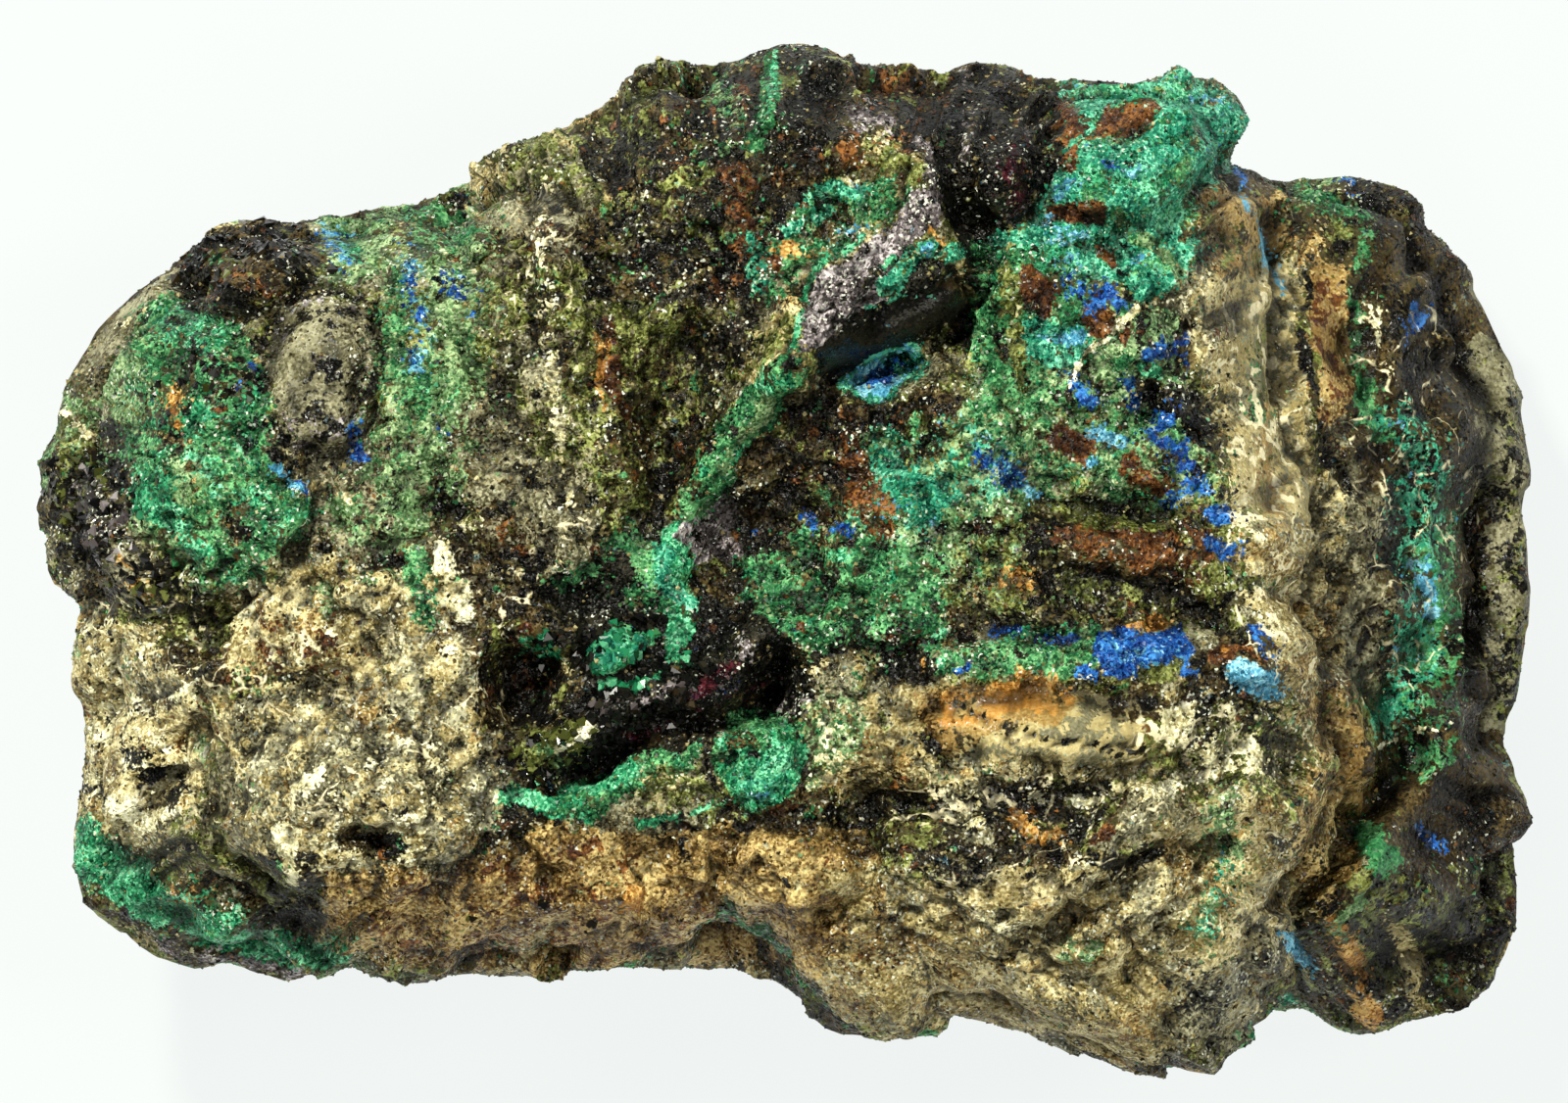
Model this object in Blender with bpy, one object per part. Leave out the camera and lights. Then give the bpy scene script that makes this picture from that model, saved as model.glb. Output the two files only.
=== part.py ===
"""Azurite specimen: one stone of copper ore, lying on its flattest face with the crusted face up.

The stone is one grown piece. It is shaped from two swollen blocks: the front mass, which carries
the crusts, and the back mass, which stands lower and looks out from behind its right side.
Metres, +Z up, +X along the stone's length. The origin is under the middle, on the resting face.
Distances in the tables are in millimetres, and MM turns them into metres.
"""

import itertools
from collections import namedtuple

import bmesh
import bpy
import numpy as np

MM = 0.001

# Driving dimensions of the stone, in millimetres
FACE_HEIGHT = 31.0  # general level of the crusted face above the table
FACE_TILT = 0.05  # how fast that level climbs towards +X
FRONT_RIM = 15.0  # height at which the front mass is widest
BACK_HEIGHT = 20.5  # level of the back mass where it comes out from under the front mass
BACK_FALL = 0.6  # how fast it drops towards +X
BACK_RIM = 9.0
BURIED = 4.0  # how far both blocks reach below the table before the stone is cut flat
RIM_SHARE = 0.82  # share of the height that the side walls of a blank cover
MIDDLE = (0.29, -0.12, 0.0)  # middle of the finished stone's box in the tables' own axes

# Mesh of the blanks before they are joined: cells along X, Y and Z
FRONT_CELLS = (84, 62, 20)
BACK_CELLS = (44, 48, 14)
THINNED_TO = 0.28  # share of a blank's triangles that is kept

STONE_COLOUR = (0.36, 0.31, 0.20, 1.0)
STONE_ROUGHNESS = 0.75

# Outlines seen from above, anticlockwise
FRONT_OUTLINE = (
    (-38.4, 3.5), (-38.3, 2.5), (-37.9, 0.5), (-37.2, -1.3), (-36.2, -2.5), (-36.5, -5.5),
    (-36.0, -8.5), (-36.2, -11.5), (-36.4, -14.0), (-36.3, -16.0), (-35.9, -17.8),
    (-34.5, -19.1), (-32.5, -20.6), (-30.3, -21.3), (-28.8, -20.9), (-27.5, -21.5),
    (-25.8, -22.0), (-23.5, -21.4), (-21.9, -20.6), (-20.5, -21.2), (-18.8, -21.7),
    (-15.8, -21.4), (-12.7, -21.4), (-10.2, -20.9), (-8.0, -20.6), (-5.5, -20.8),
    (-2.6, -20.9), (-0.5, -21.6), (0.9, -22.8), (1.2, -23.6), (2.8, -24.6), (5.3, -24.9),
    (7.7, -24.3), (8.9, -23.7), (10.7, -23.7), (12.2, -24.0), (14.4, -25.1), (17.1, -25.9),
    (19.4, -26.4), (21.8, -26.1), (22.3, -25.2), (24.5, -23.8), (26.5, -21.5), (27.4, -19.0),
    (28.6, -16.8), (29.7, -14.0), (29.9, -10.5), (29.6, -7.0), (28.8, -4.5), (27.5, -1.5),
    (26.8, 2.5), (26.4, 8.5), (26.5, 15.5), (25.8, 18.6), (24.2, 19.8), (22.9, 20.3),
    (23.1, 21.3), (23.6, 22.1), (22.9, 23.5), (22.1, 24.4), (20.5, 24.6), (17.6, 24.4),
    (15.5, 24.5), (13.1, 24.5), (11.6, 25.2), (9.8, 25.4), (7.9, 25.0), (5.5, 25.4),
    (3.3, 25.7), (2.3, 26.3), (0.0, 26.5), (-2.2, 25.7), (-4.6, 25.2), (-6.2, 25.3),
    (-8.0, 24.1), (-8.4, 23.2), (-10.3, 22.1), (-12.3, 21.4), (-14.9, 20.5), (-16.7, 19.4),
    (-18.9, 18.5), (-21.9, 18.0), (-24.0, 17.4), (-26.4, 17.5), (-28.9, 17.2), (-30.7, 16.0),
    (-31.7, 14.9), (-33.6, 13.6), (-35.5, 11.8), (-37.0, 8.8), (-37.4, 6.4), (-38.2, 5.2),
)
FRONT_CENTRE = (-3.0, 0.5)
BACK_OUTLINE = (
    (-2.0, -1.5), (0.0, -11.5), (10.0, -19.0), (20.0, -22.5), (25.0, -23.4), (26.6, -23.4),
    (27.3, -23.7), (28.2, -24.4), (29.3, -24.6), (30.6, -24.3), (32.2, -23.6), (35.4, -22.7),
    (36.5, -21.6), (37.8, -19.1), (37.8, -17.6), (37.6, -14.6), (38.2, -13.5), (38.3, -12.5),
    (37.8, -11.5), (37.4, -9.9), (37.5, -8.6), (38.2, -5.1), (38.5, -1.5), (38.1, 2.0),
    (38.3, 4.5), (38.1, 7.0), (37.8, 10.2), (37.2, 11.3), (35.6, 13.8), (35.1, 15.1),
    (34.1, 16.1), (32.9, 17.0), (32.9, 18.2), (31.3, 19.1), (28.8, 19.7), (25.9, 19.6),
    (23.6, 19.9), (20.0, 18.8), (10.0, 16.0), (0.0, 8.5),
)
BACK_CENTRE = (18.0, -2.0)

# A swelling or hollow in the face: middle, half sizes along and across, turn in degrees,
# rise (negative for a hollow), and how much of it is slope: 1 for a round one, less for a flat one.
Swell = namedtuple("Swell", "name x y along across turn rise slope")
# A ridge or crease: half width, rise (negative for a crease), and the line that it follows.
Fold = namedtuple("Fold", "name half_width rise line")

FRONT_SWELLS = (
    Swell("sunken middle", -3.0, 0.0, 13.0, 10.0, 20, -2.6, 1.0),
    Swell("top brow", 3.0, 20.5, 15.0, 6.0, -3, 1.8, 1.0),
    Swell("lower right block", 14.0, -15.0, 14.0, 9.0, 10, 2.0, 1.0),
    Swell("lower left lobe", -21.5, -14.0, 8.0, 7.0, -20, 2.8, 0.7),
    Swell("bottom belly", -8.0, -17.5, 11.0, 4.0, 2, 1.2, 1.0),
    Swell("outer left slope", -37.0, 9.5, 4.5, 8.0, 20, -3.2, 0.8),
    Swell("pale left slope", -34.0, -9.5, 5.0, 7.5, 0, -2.6, 0.6),
    Swell("green toe", -31.0, -19.0, 9.5, 5.5, -12, -5.5, 0.45),
    Swell("long trough", -5.6, 7.6, 2.9, 6.0, -12, -2.0, 0.8),
    Swell("bowl", 4.0, 18.0, 3.2, 3.0, 0, -1.3, 0.8),
    Swell("dark knob", 11.3, 20.6, 2.9, 4.9, -8, 2.6, 0.8),
    Swell("top left knob", -6.3, 23.4, 2.3, 1.9, 10, 1.4, 0.9),
    Swell("top right shoulder", 17.6, 20.6, 5.6, 4.0, 0, 1.8, 0.4),
    Swell("under the facet", 5.8, 9.6, 3.6, 1.5, 28, -1.8, 0.8),
    Swell("ringed knob", 18.2, 10.6, 2.2, 2.4, 0, 1.1, 0.6),
    Swell("deep left pit", -13.2, -6.4, 2.9, 2.6, 35, -4.4, 0.75),
    Swell("pit above it", -10.6, -2.4, 2.6, 1.6, 20, -1.6, 0.8),
    Swell("central pit", -0.6, -6.2, 2.6, 1.9, 30, -2.6, 0.8),
    Swell("raised crystal block", -8.3, -4.6, 2.2, 1.3, 25, 1.7, 0.4),
    Swell("lower crystal block", -10.0, -8.8, 2.4, 1.1, 22, 1.2, 0.5),
    Swell("green tongue", -1.0, -10.2, 2.5, 2.9, -25, 1.0, 0.5),
    Swell("brown lobe", 0.6, -15.8, 4.3, 2.9, 0, 1.3, 0.35),
    Swell("smooth boss", 12.5, -8.6, 7.4, 2.8, -4, 1.7, 0.9),
    Swell("brown cave", 16.5, -1.4, 6.0, 2.2, -6, -1.5, 0.7),
    Swell("malachite cushion", -28.4, 4.6, 5.0, 6.8, 12, 1.7, 0.4),
    Swell("brown knob", -27.2, 14.6, 3.8, 2.9, 8, 2.4, 0.45),
    Swell("grey plate", -23.2, 9.4, 3.0, 4.3, -5, 1.5, 0.35),
    Swell("black knobs", -34.6, 2.4, 3.4, 4.0, 0, 1.3, 0.8),
)
FRONT_FOLDS = (
    Fold("left crest", 2.0, 1.5, ((-12.2, 19.8), (-11.4, 13.5), (-11.1, 8.5), (-9.8, 4.5), (-11.5, -2.5))),
    Fold("purple crest", 1.6, 2.1, ((7.8, 19.4), (6.8, 16.8), (4.0, 14.5), (1.8, 12.0), (0.2, 9.2))),
    Fold("green vein", 1.0, 1.0, ((0.2, 9.2), (-1.2, 7.8), (-3.3, 5.5), (-5.0, 1.5), (-6.5, -1.5))),
    Fold("facet crease", 1.0, -1.8, ((2.4, 8.6), (5.0, 9.9), (7.5, 11.3), (9.4, 12.2))),
    Fold("dark slit", 0.8, -2.0, ((7.9, 20.0), (8.6, 17.6), (9.8, 16.1), (9.6, 14.0), (8.9, 12.0))),
    Fold("knob crease", 0.9, -1.6, ((13.5, 23.6), (13.7, 19.6), (12.7, 17.1), (10.1, 16.0))),
    Fold("lower crest", 1.3, 1.6, ((3.0, -3.2), (-0.5, -4.4), (-4.0, -6.2), (-7.5, -7.6))),
    Fold("lower crease", 1.2, -1.9, ((0.0, -6.6), (-4.0, -8.0), (-7.5, -9.7), (-10.8, -11.6))),
    Fold("green rib", 1.0, 1.0, ((-3.6, -9.0), (-7.5, -11.2), (-10.8, -12.7), (-14.0, -13.0))),
    Fold("olive groove", 1.0, -1.5, ((11.6, 3.7), (15.5, 2.9), (19.2, 2.3))),
    Fold("cave floor", 0.9, -1.3, ((6.5, -3.4), (13.0, -3.8), (22.5, -3.3))),
    Fold("blue ledge", 1.2, 0.9, ((7.0, -4.9), (15.0, -5.1), (24.5, -5.6))),
    Fold("shadow band", 1.3, -1.3, ((4.0, -11.7), (8.0, -12.8), (13.0, -12.3), (17.5, -11.2), (22.5, -9.6))),
    Fold("overhang lip", 1.0, 0.9, ((9.5, -18.6), (13.0, -16.8), (15.5, -14.9), (18.5, -13.4),
                                    (23.0, -12.3))),
    Fold("overhang crease", 0.9, -1.9, ((10.5, -19.9), (13.5, -18.0), (16.0, -16.4), (18.7, -14.9),
                                        (21.5, -14.2))),
    Fold("lobe crease", 0.8, -1.1, ((4.0, -13.0), (5.0, -15.0), (4.2, -17.2), (2.0, -18.4))),
    Fold("left ledge", 1.2, -1.7, ((-37.0, -1.5), (-33.5, -3.6), (-30.0, -4.1), (-27.8, -2.6))),
    Fold("lobe foot", 1.1, -1.5, ((-30.4, -10.0), (-29.6, -13.6), (-25.0, -17.6), (-22.4, -20.6))),
)
# Right brow of the front mass: (y, x) of the edge where its face turns down to the back mass
BROW_LINE = ((-27.0, 30.0), (-8.0, 30.0), (-5.5, 28.2), (-2.5, 25.4), (2.0, 23.2), (8.0, 21.9),
             (15.5, 20.7), (17.0, 21.2), (20.0, 22.9), (27.0, 24.0))
BROW_STEP = 1.2
BROW_FALL = 1.15

# Flat breaks on the walls: the bearing of each face, and how far it leans under, in degrees
FRONT_BREAKS = ((-93, 44), (-58, 32), (-128, 40), (178, 48), (150, 34), (118, 50), (86, 40), (-20, 40))
BACK_BREAKS = ((-4, 38), (-48, 48), (38, 42), (-88, 34), (84, 44))
BREAK_START = 0.85  # share of the rim's height at which a break leaves the wall

BACK_SWELLS = (
    Swell("corner knob", 30.9, 17.6, 2.8, 2.3, 0, 2.0, 0.6),
    Swell("lower lump", 32.0, -18.5, 6.0, 6.5, 20, 3.4, 0.8),
    Swell("side bump", 36.6, -12.6, 2.4, 2.4, 0, 2.0, 0.9),
    Swell("outer hollow", 31.0, -6.0, 3.6, 5.0, 15, -1.6, 0.9),
)
BACK_FOLDS = (
    Fold("diagonal fold", 1.3, 1.7, ((35.5, -5.0), (34.0, -10.0), (30.5, -15.0), (26.5, -20.0))),
    Fold("under the fold", 1.1, -1.5, ((32.0, -8.5), (29.5, -12.5), (26.5, -16.5))),
    Fold("outer fold", 1.1, 1.0, ((34.5, 14.0), (35.8, 7.5), (36.4, 3.0), (36.6, -3.0))),
    Fold("strip crease", 0.8, -0.9, ((29.6, 16.0), (29.9, 10.0), (31.5, 3.0), (32.5, -3.0))),
)


def scramble(cells, salt):
    """Repeatable random numbers from 0 to 1 for whole-number cells: multiply, fold and mask."""
    parts = cells.astype(np.int64).astype(np.uint32)
    mixed = parts[..., 0] * np.uint32(73856093) ^ parts[..., 1] * np.uint32(19349663)
    mixed = mixed ^ parts[..., 2] * np.uint32(83492791) ^ np.uint32(salt * 7919 + 1)
    mixed = (mixed ^ mixed >> np.uint32(15)) * np.uint32(2246822519)
    mixed = (mixed ^ mixed >> np.uint32(13)) * np.uint32(3266489917)
    mixed = mixed ^ mixed >> np.uint32(16)
    return mixed.astype(float) / 0xFFFFFFFF


def smooth_noise(points, size, salt):
    """Noise from -1 to 1: random values at the corners of cubes, blended smoothly across each cube."""
    at = points / size
    low = np.floor(at)
    share = at - low
    share = share * share * (3 - 2 * share)
    total = np.zeros(len(points))
    for corner in itertools.product((0, 1), repeat=3):
        weight = np.prod(np.where(corner, share, 1 - share), axis=-1)
        total += weight * scramble(low + corner, salt)
    return 2 * total - 1


def chipped(points, size, salt, sharpness=16.0):
    """Broken facets: every cube holds one tilted plane, and the nearest planes win by distance."""
    at = points / size
    low = np.floor(at)
    total = np.zeros(len(points))
    weights = np.zeros(len(points))
    for step in itertools.product((-1, 0, 1), repeat=3):
        cell = low + step
        away = at - cell - np.stack([scramble(cell, salt + n) for n in (1, 2, 3)], axis=-1)
        tilt = np.stack([scramble(cell, salt + n) for n in (4, 5, 6)], axis=-1) * 2 - 1
        plane = (tilt * away).sum(axis=-1) + scramble(cell, salt + 7) - 0.5
        weight = np.exp(-sharpness * (away * away).sum(axis=-1))
        total += weight * plane
        weights += weight
    return total / weights


def distance_to_line(x, y, line):
    """Distance from each point to a line of straight stretches, seen from above."""
    nearest = np.full(len(x), np.inf)
    for (ax, ay), (bx, by) in zip(line, line[1:]):
        run_x, run_y = bx - ax, by - ay
        share = ((x - ax) * run_x + (y - ay) * run_y) / (run_x**2 + run_y**2)
        share = np.clip(share, 0, 1)
        nearest = np.minimum(nearest, np.hypot(x - ax - share * run_x, y - ay - share * run_y))
    return nearest


def relief(x, y, swells, folds):
    """Sum of the swells and folds at each point of a face, in millimetres."""
    height = np.zeros(len(x))
    for swell in swells:
        turn = np.radians(swell.turn)
        dx, dy = x - swell.x, y - swell.y
        along = (dx * np.cos(turn) + dy * np.sin(turn)) / swell.along
        across = (dy * np.cos(turn) - dx * np.sin(turn)) / swell.across
        inside = np.clip((1 - np.hypot(along, across)) / swell.slope, 0, 1)
        height += swell.rise * inside * inside * (3 - 2 * inside)
    for fold in folds:
        height += fold.rise * np.exp(-(distance_to_line(x, y, fold.line) / fold.half_width) ** 2)
    return height


def wander(x, y):
    """Moves the pattern of the relief a little, so that no swell keeps a drawn edge."""
    flat = np.stack([x, y, np.zeros(len(x))], axis=-1)
    return x + 0.7 * smooth_noise(flat, 3.6, 11), y + 0.7 * smooth_noise(flat, 3.6, 12)


def front_level(x, y):
    """Height of the crusted face: a gentle tilt, its relief, and the fall past the right brow."""
    shifted_x, shifted_y = wander(x, y)
    brow_y, brow_x = np.array(BROW_LINE).T
    past = x - np.interp(y, brow_y, brow_x)
    fall = BROW_STEP * np.clip(past / 0.8, 0, 1) + BROW_FALL * np.clip(past, 0, 6)
    return FACE_HEIGHT + FACE_TILT * x + relief(shifted_x, shifted_y, FRONT_SWELLS, FRONT_FOLDS) - fall


def back_level(x, y):
    """Height of the back mass: a slope down to +X, with its own lumps and folds."""
    shifted_x, shifted_y = wander(x, y)
    slope = BACK_HEIGHT - BACK_FALL * (x - 27.0)
    return slope + relief(shifted_x, shifted_y, BACK_SWELLS, BACK_FOLDS)


def blank(cells):
    """A cube from -1 to 1 with its sides divided into that many cells along X, Y and Z."""
    bm = bmesh.new()
    bmesh.ops.create_cube(bm, size=2)
    for axis, count in enumerate(cells):
        along = [e for e in bm.edges if abs(e.verts[0].co[axis] - e.verts[1].co[axis]) > 1]
        bmesh.ops.subdivide_edges(bm, edges=along, cuts=count - 1, use_grid_fill=True)
    return bm


def outline_radius(bearing, outline, centre):
    """How far the outline is from the centre along each bearing, between its points in turn."""
    corners = np.array(outline) - centre
    angles = np.arctan2(corners[:, 1], corners[:, 0])
    order = np.argsort(angles)
    return np.interp(bearing, angles[order], np.hypot(*corners.T)[order], period=2 * np.pi)


def swollen(cube, outline, centre, rim_height, level, breaks, fullness, taper):
    """Turns points of the cube into points of a block.

    The cube's top and bottom squares become discs, and its sides the wall between them. Share of
    the outline's radius and share of the height follow a rounded square: one power plus the other
    makes 1, with fullness as the power above the rim and taper below it. The rim, where the block
    is widest, runs up and down by a third of its height. Last, what stands out past the plane
    of a break is pressed back onto that plane.
    """
    a, b, c = cube.T
    disc_x, disc_y = a * np.sqrt(1 - b * b / 2), b * np.sqrt(1 - a * a / 2)
    reach = np.hypot(disc_x, disc_y)
    bearing = np.arctan2(disc_y, disc_x)
    power = np.where(c > 0, fullness, taper)
    cap = (1 - RIM_SHARE**power) ** (1 / power)
    flat = np.abs(c) > 1 - 1e-6
    high = np.where(flat, (1 - (cap * reach) ** power) ** (1 / power), np.abs(c) * RIM_SHARE)
    wide = np.where(flat, cap * reach, (1 - high**power) ** (1 / power))
    radii = outline_radius(bearing, outline, centre)
    around = np.stack([np.cos(bearing), np.sin(bearing), np.zeros(len(bearing))], axis=-1)
    rim = rim_height * (1 + 0.33 * smooth_noise(around, 0.6, 61))
    x = centre[0] + wide * radii * np.cos(bearing)
    y = centre[1] + wide * radii * np.sin(bearing)
    z = np.where(c > 0, rim + (level(x, y) - rim) * high, rim - (rim + BURIED) * high)
    outward = np.stack([np.cos(bearing) * (1 - high), np.sin(bearing) * (1 - high),
                        np.where(c > 0, high, -high)], axis=-1)
    outward /= np.linalg.norm(outward, axis=-1, keepdims=True)
    points = np.stack([x, y, z], axis=-1)
    for side, lean in np.radians(breaks):
        sideways = np.array([np.cos(side), np.sin(side)])
        facing = np.array([*(sideways * np.cos(lean)), -np.sin(lean)])
        crossing = np.array([*(sideways * (np.array(outline) @ sideways).max()), BREAK_START * rim_height])
        points -= facing * np.clip((points - crossing) @ facing, 0, None)[:, None]
    return points, outward, high


def weathered(points, outward, high):
    """Breaks the smooth block up: large chips on the walls, smaller ones and lumps all over."""
    on_wall = 1 - np.clip((high - 0.55) / 0.35, 0, 1)
    off_rim = 0.15 + 0.85 * np.clip(high / 0.35, 0, 1)
    depth = (2.6 * chipped(points, 10.0, 21) - 1.4) * on_wall
    depth += (0.6 + 0.8 * on_wall) * chipped(points, 3.6, 31)
    depth += 0.3 * smooth_noise(points, 2.6, 41)
    return points + outward * (depth * off_rim)[:, None]


def held_in(points, outline, centre):
    """Draws back what stands out past the outline seen from above."""
    out = points[:, :2] - centre
    reach = np.hypot(*out.T)
    allowed = outline_radius(np.arctan2(out[:, 1], out[:, 0]), outline, centre) + 0.15
    points[:, :2] = centre + out * np.minimum(1, allowed / np.maximum(reach, 1e-6))[:, None]
    return points


def block(name, cells, outline, centre, *shape):
    """One swollen and weathered block as a closed mesh object, in metres."""
    bm = blank(cells)
    cube = np.array([v.co for v in bm.verts])
    points = held_in(weathered(*swollen(cube, outline, centre, *shape)), outline, centre)
    for vertex, point in zip(bm.verts, (points - MIDDLE) * MM):
        vertex.co = point
    bmesh.ops.recalc_face_normals(bm, faces=bm.faces)
    mesh = bpy.data.meshes.new(name)
    bm.to_mesh(mesh)
    bm.free()
    made = bpy.data.objects.new(name, mesh)
    bpy.context.scene.collection.objects.link(made)
    return made


def helper(made):
    """Marks an object that only shapes another one."""
    made.hide_render = True
    made.display_type = "WIRE"
    return made


def table_cutter():
    """A box under the table top, which cuts the resting face flat."""
    bm = bmesh.new()
    side = 120 * MM
    bmesh.ops.create_cube(bm, size=side)
    bmesh.ops.translate(bm, verts=bm.verts, vec=(0, 0, -side / 2))
    mesh = bpy.data.meshes.new("table_cutter")
    bm.to_mesh(mesh)
    bm.free()
    made = bpy.data.objects.new("table_cutter", mesh)
    bpy.context.scene.collection.objects.link(made)
    return helper(made)


def stone_material():
    """Plain weathered rock."""
    material = bpy.data.materials.new("stone")
    material.use_nodes = True
    shader = material.node_tree.nodes["Principled BSDF"]
    shader.inputs["Base Color"].default_value = STONE_COLOUR
    shader.inputs["Roughness"].default_value = STONE_ROUGHNESS
    shader.inputs["Metallic"].default_value = 0.0
    material.diffuse_color = STONE_COLOUR
    return material


def join_and_cut(stone, back, cutter):
    """Thins both blocks where they are flat, joins them, and cuts the resting face."""
    for block_made in (stone, back):
        thin = block_made.modifiers.new("thin", "DECIMATE")
        thin.ratio = THINNED_TO
    join = stone.modifiers.new("join back mass", "BOOLEAN")
    join.operation = "UNION"
    join.object = back
    cut = stone.modifiers.new("resting face", "BOOLEAN")
    cut.operation = "DIFFERENCE"
    cut.object = cutter


def main():
    for old in list(bpy.data.objects):
        bpy.data.objects.remove(old)
    stone = block("azurite_stone", FRONT_CELLS, FRONT_OUTLINE, FRONT_CENTRE, FRONT_RIM, front_level,
                  FRONT_BREAKS, 3.6, 2.9)
    back = block("back_mass", BACK_CELLS, BACK_OUTLINE, BACK_CENTRE, BACK_RIM, back_level,
                 BACK_BREAKS, 3.0, 2.9)
    join_and_cut(stone, helper(back), table_cutter())
    stone.data.materials.append(stone_material())


main()
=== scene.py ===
"""Looks of the azurite specimen: brown copper ore with malachite crusts and azurite patches.

The stone's surface is worked out here again at a finer pitch than in the CAD solid, with the same
large forms. Mineral zones are laid over it as coverage values on its points, and the material turns
them into crusts with broken edges. Loose crystals and grains sit half sunk in the surface.
Tables are in millimetres, in the stone's own outline axes, and MM turns them into metres.
"""

import itertools
from collections import namedtuple

import bpy
import numpy as np
from mathutils import Matrix, Vector


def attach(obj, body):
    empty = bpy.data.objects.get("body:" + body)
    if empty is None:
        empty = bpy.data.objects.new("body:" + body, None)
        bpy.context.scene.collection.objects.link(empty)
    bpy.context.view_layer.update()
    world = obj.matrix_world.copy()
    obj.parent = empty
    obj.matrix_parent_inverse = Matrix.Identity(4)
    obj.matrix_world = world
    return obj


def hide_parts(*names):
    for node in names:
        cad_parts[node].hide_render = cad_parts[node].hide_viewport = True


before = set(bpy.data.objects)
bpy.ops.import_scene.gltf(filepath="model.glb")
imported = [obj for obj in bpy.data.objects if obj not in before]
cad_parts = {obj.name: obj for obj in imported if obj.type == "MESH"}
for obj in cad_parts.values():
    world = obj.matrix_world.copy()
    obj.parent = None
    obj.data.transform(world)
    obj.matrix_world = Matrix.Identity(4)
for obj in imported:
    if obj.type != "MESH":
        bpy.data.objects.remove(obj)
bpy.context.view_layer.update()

MM = 0.001
SMALL = 1e-6
TINY = 1e-9
STONE = "azurite_stone"
NOISE_TURN = np.array(Matrix.Rotation(0.7, 3, Vector((1.0, 2.0, 1.5))))

# Driving dimensions of the stone, as in the CAD solid
FACE_HEIGHT = 31.0
FACE_TILT = 0.05
FRONT_RIM = 15.0
BACK_HEIGHT = 20.5
BACK_FALL = 0.6
BACK_RIM = 9.0
BURIED = 4.0
RIM_SHARE = 0.82
MIDDLE = (0.29, -0.12, 0.0)
FRONT_FULLNESS = 3.6
BACK_FULLNESS = 3.0
UNDER_TAPER = 2.9

# Mesh of the two blocks: cells along X and Y on top, and down the walls
FRONT_CELLS = (270, 196, 26)
BACK_CELLS = (80, 120, 20)
BACK_CROWDING = 1.5
UNION_SOLVER = "EXACT"

# Where a block is widest: its height sways by a share, with a noise of this size and salt
RIM_SWAY = 0.33
RIM_NOISE = (0.6, 61)
OUTLINE_PLAY = 0.15

# Breaking up of the blocks, as in the CAD solid: depth and size of the pieces in mm, and a salt
WALL_START = 0.55
WALL_FADE = 0.35
WALL_CHIPS = (2.6, 10.0, 21)
WALL_SINK = 1.4
SMALL_CHIPS = (0.6, 3.6, 31)
SMALL_CHIPS_ON_WALL = 0.8
LUMPS = (0.3, 2.6, 41)
RIM_FADE = 0.35
RIM_ROUGHNESS = 0.15

# Fine roughness of the joined stone: depth and size in mm, and a salt
FINE_CHIPS = ((0.5, 2.3, 51), (0.3, 0.9, 81))
FINE_SHARPNESS = 40.0
FINE_LUMPS = (0.12, 0.5, 91)
FINE_PITS = (1.6, 1.3, 99)
PIT_START = 0.5
SMOOTHED_SHARE = 0.85
WALL_SMOOTHNESS = 0.75
ROUGH_PLACES = (6.0, 181, 2)
ROUGH_MEAN = 0.75
ROUGH_SPREAD = 0.9
ROUGH_LIMITS = (0.25, 1.3)

# How far drawn patterns wander, so that nothing keeps a drawn edge: reach and size in mm, and a salt
FACE_BEND = (0.7, 3.6, 11)
FINE_BEND = (0.25, 0.9, 71)
BACK_BEND = (1.3, 3.6, 11)
STROKE_BEND = (0.35, 1.4, 131)
ZONE_BEND = (0.45, 1.7, 141)

# Passes of smoothing that show small and wide hollows, and how much painted shade darkens them, each
# millimetre
HOLLOW_PASSES = (4, 50)
SMALL_SHADE = 10.0
WIDE_SHADE = 1.4
SHADE_LIMITS = (0.2, 1.5)
UNION_PASSES = 3
FACING_PASSES = 12

STONE_TONE = 1.1
STONE_SHINE = 0.2
WALL_DULLNESS = 0.7
DULL_SLOPE = 1.6
SMOOTH_POLISH = 0.75
FIBRE_CELLS = 330.0
FIBRE_SPREAD = 0.5
FIBRE_START = 0.42
FIBRE_BEND = 1.2
FIBRE_CRISP = 30.0
FIBRE_COLOUR = (222, 212, 172)
BARE_ROCK = (58, 54, 30)

# How noise breaks the edges of marks and moves their levels: size in mm, salt and layers of each noise
EDGE_NOISE = (1.6, 151, 4)
EDGE_REACH = 0.35
EDGE_SHARE = 0.45
STROKE_EDGE = 0.7
LEVEL_NOISE = (1.5, 161, 3)
LEVEL_LOSS = 0.1
LEVEL_DRIFT = 0.55
PATCH_CRISP = 5.0

# Where the face gives way to the walls, and how much bare tan rock lies below the rest
SEEN_NOISE = (3.0, 191, 3)
SEEN_RAGGED = 0.3
SEEN_FADE = 0.25
GROUND_BASE = 0.9
WALL_BASE = 0.8
SALT_STEP = 40
GROUND_SALT = 501
WALL_SALT = 301
COMPANION_SALT = 901
SPECK_SALT = 701
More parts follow.
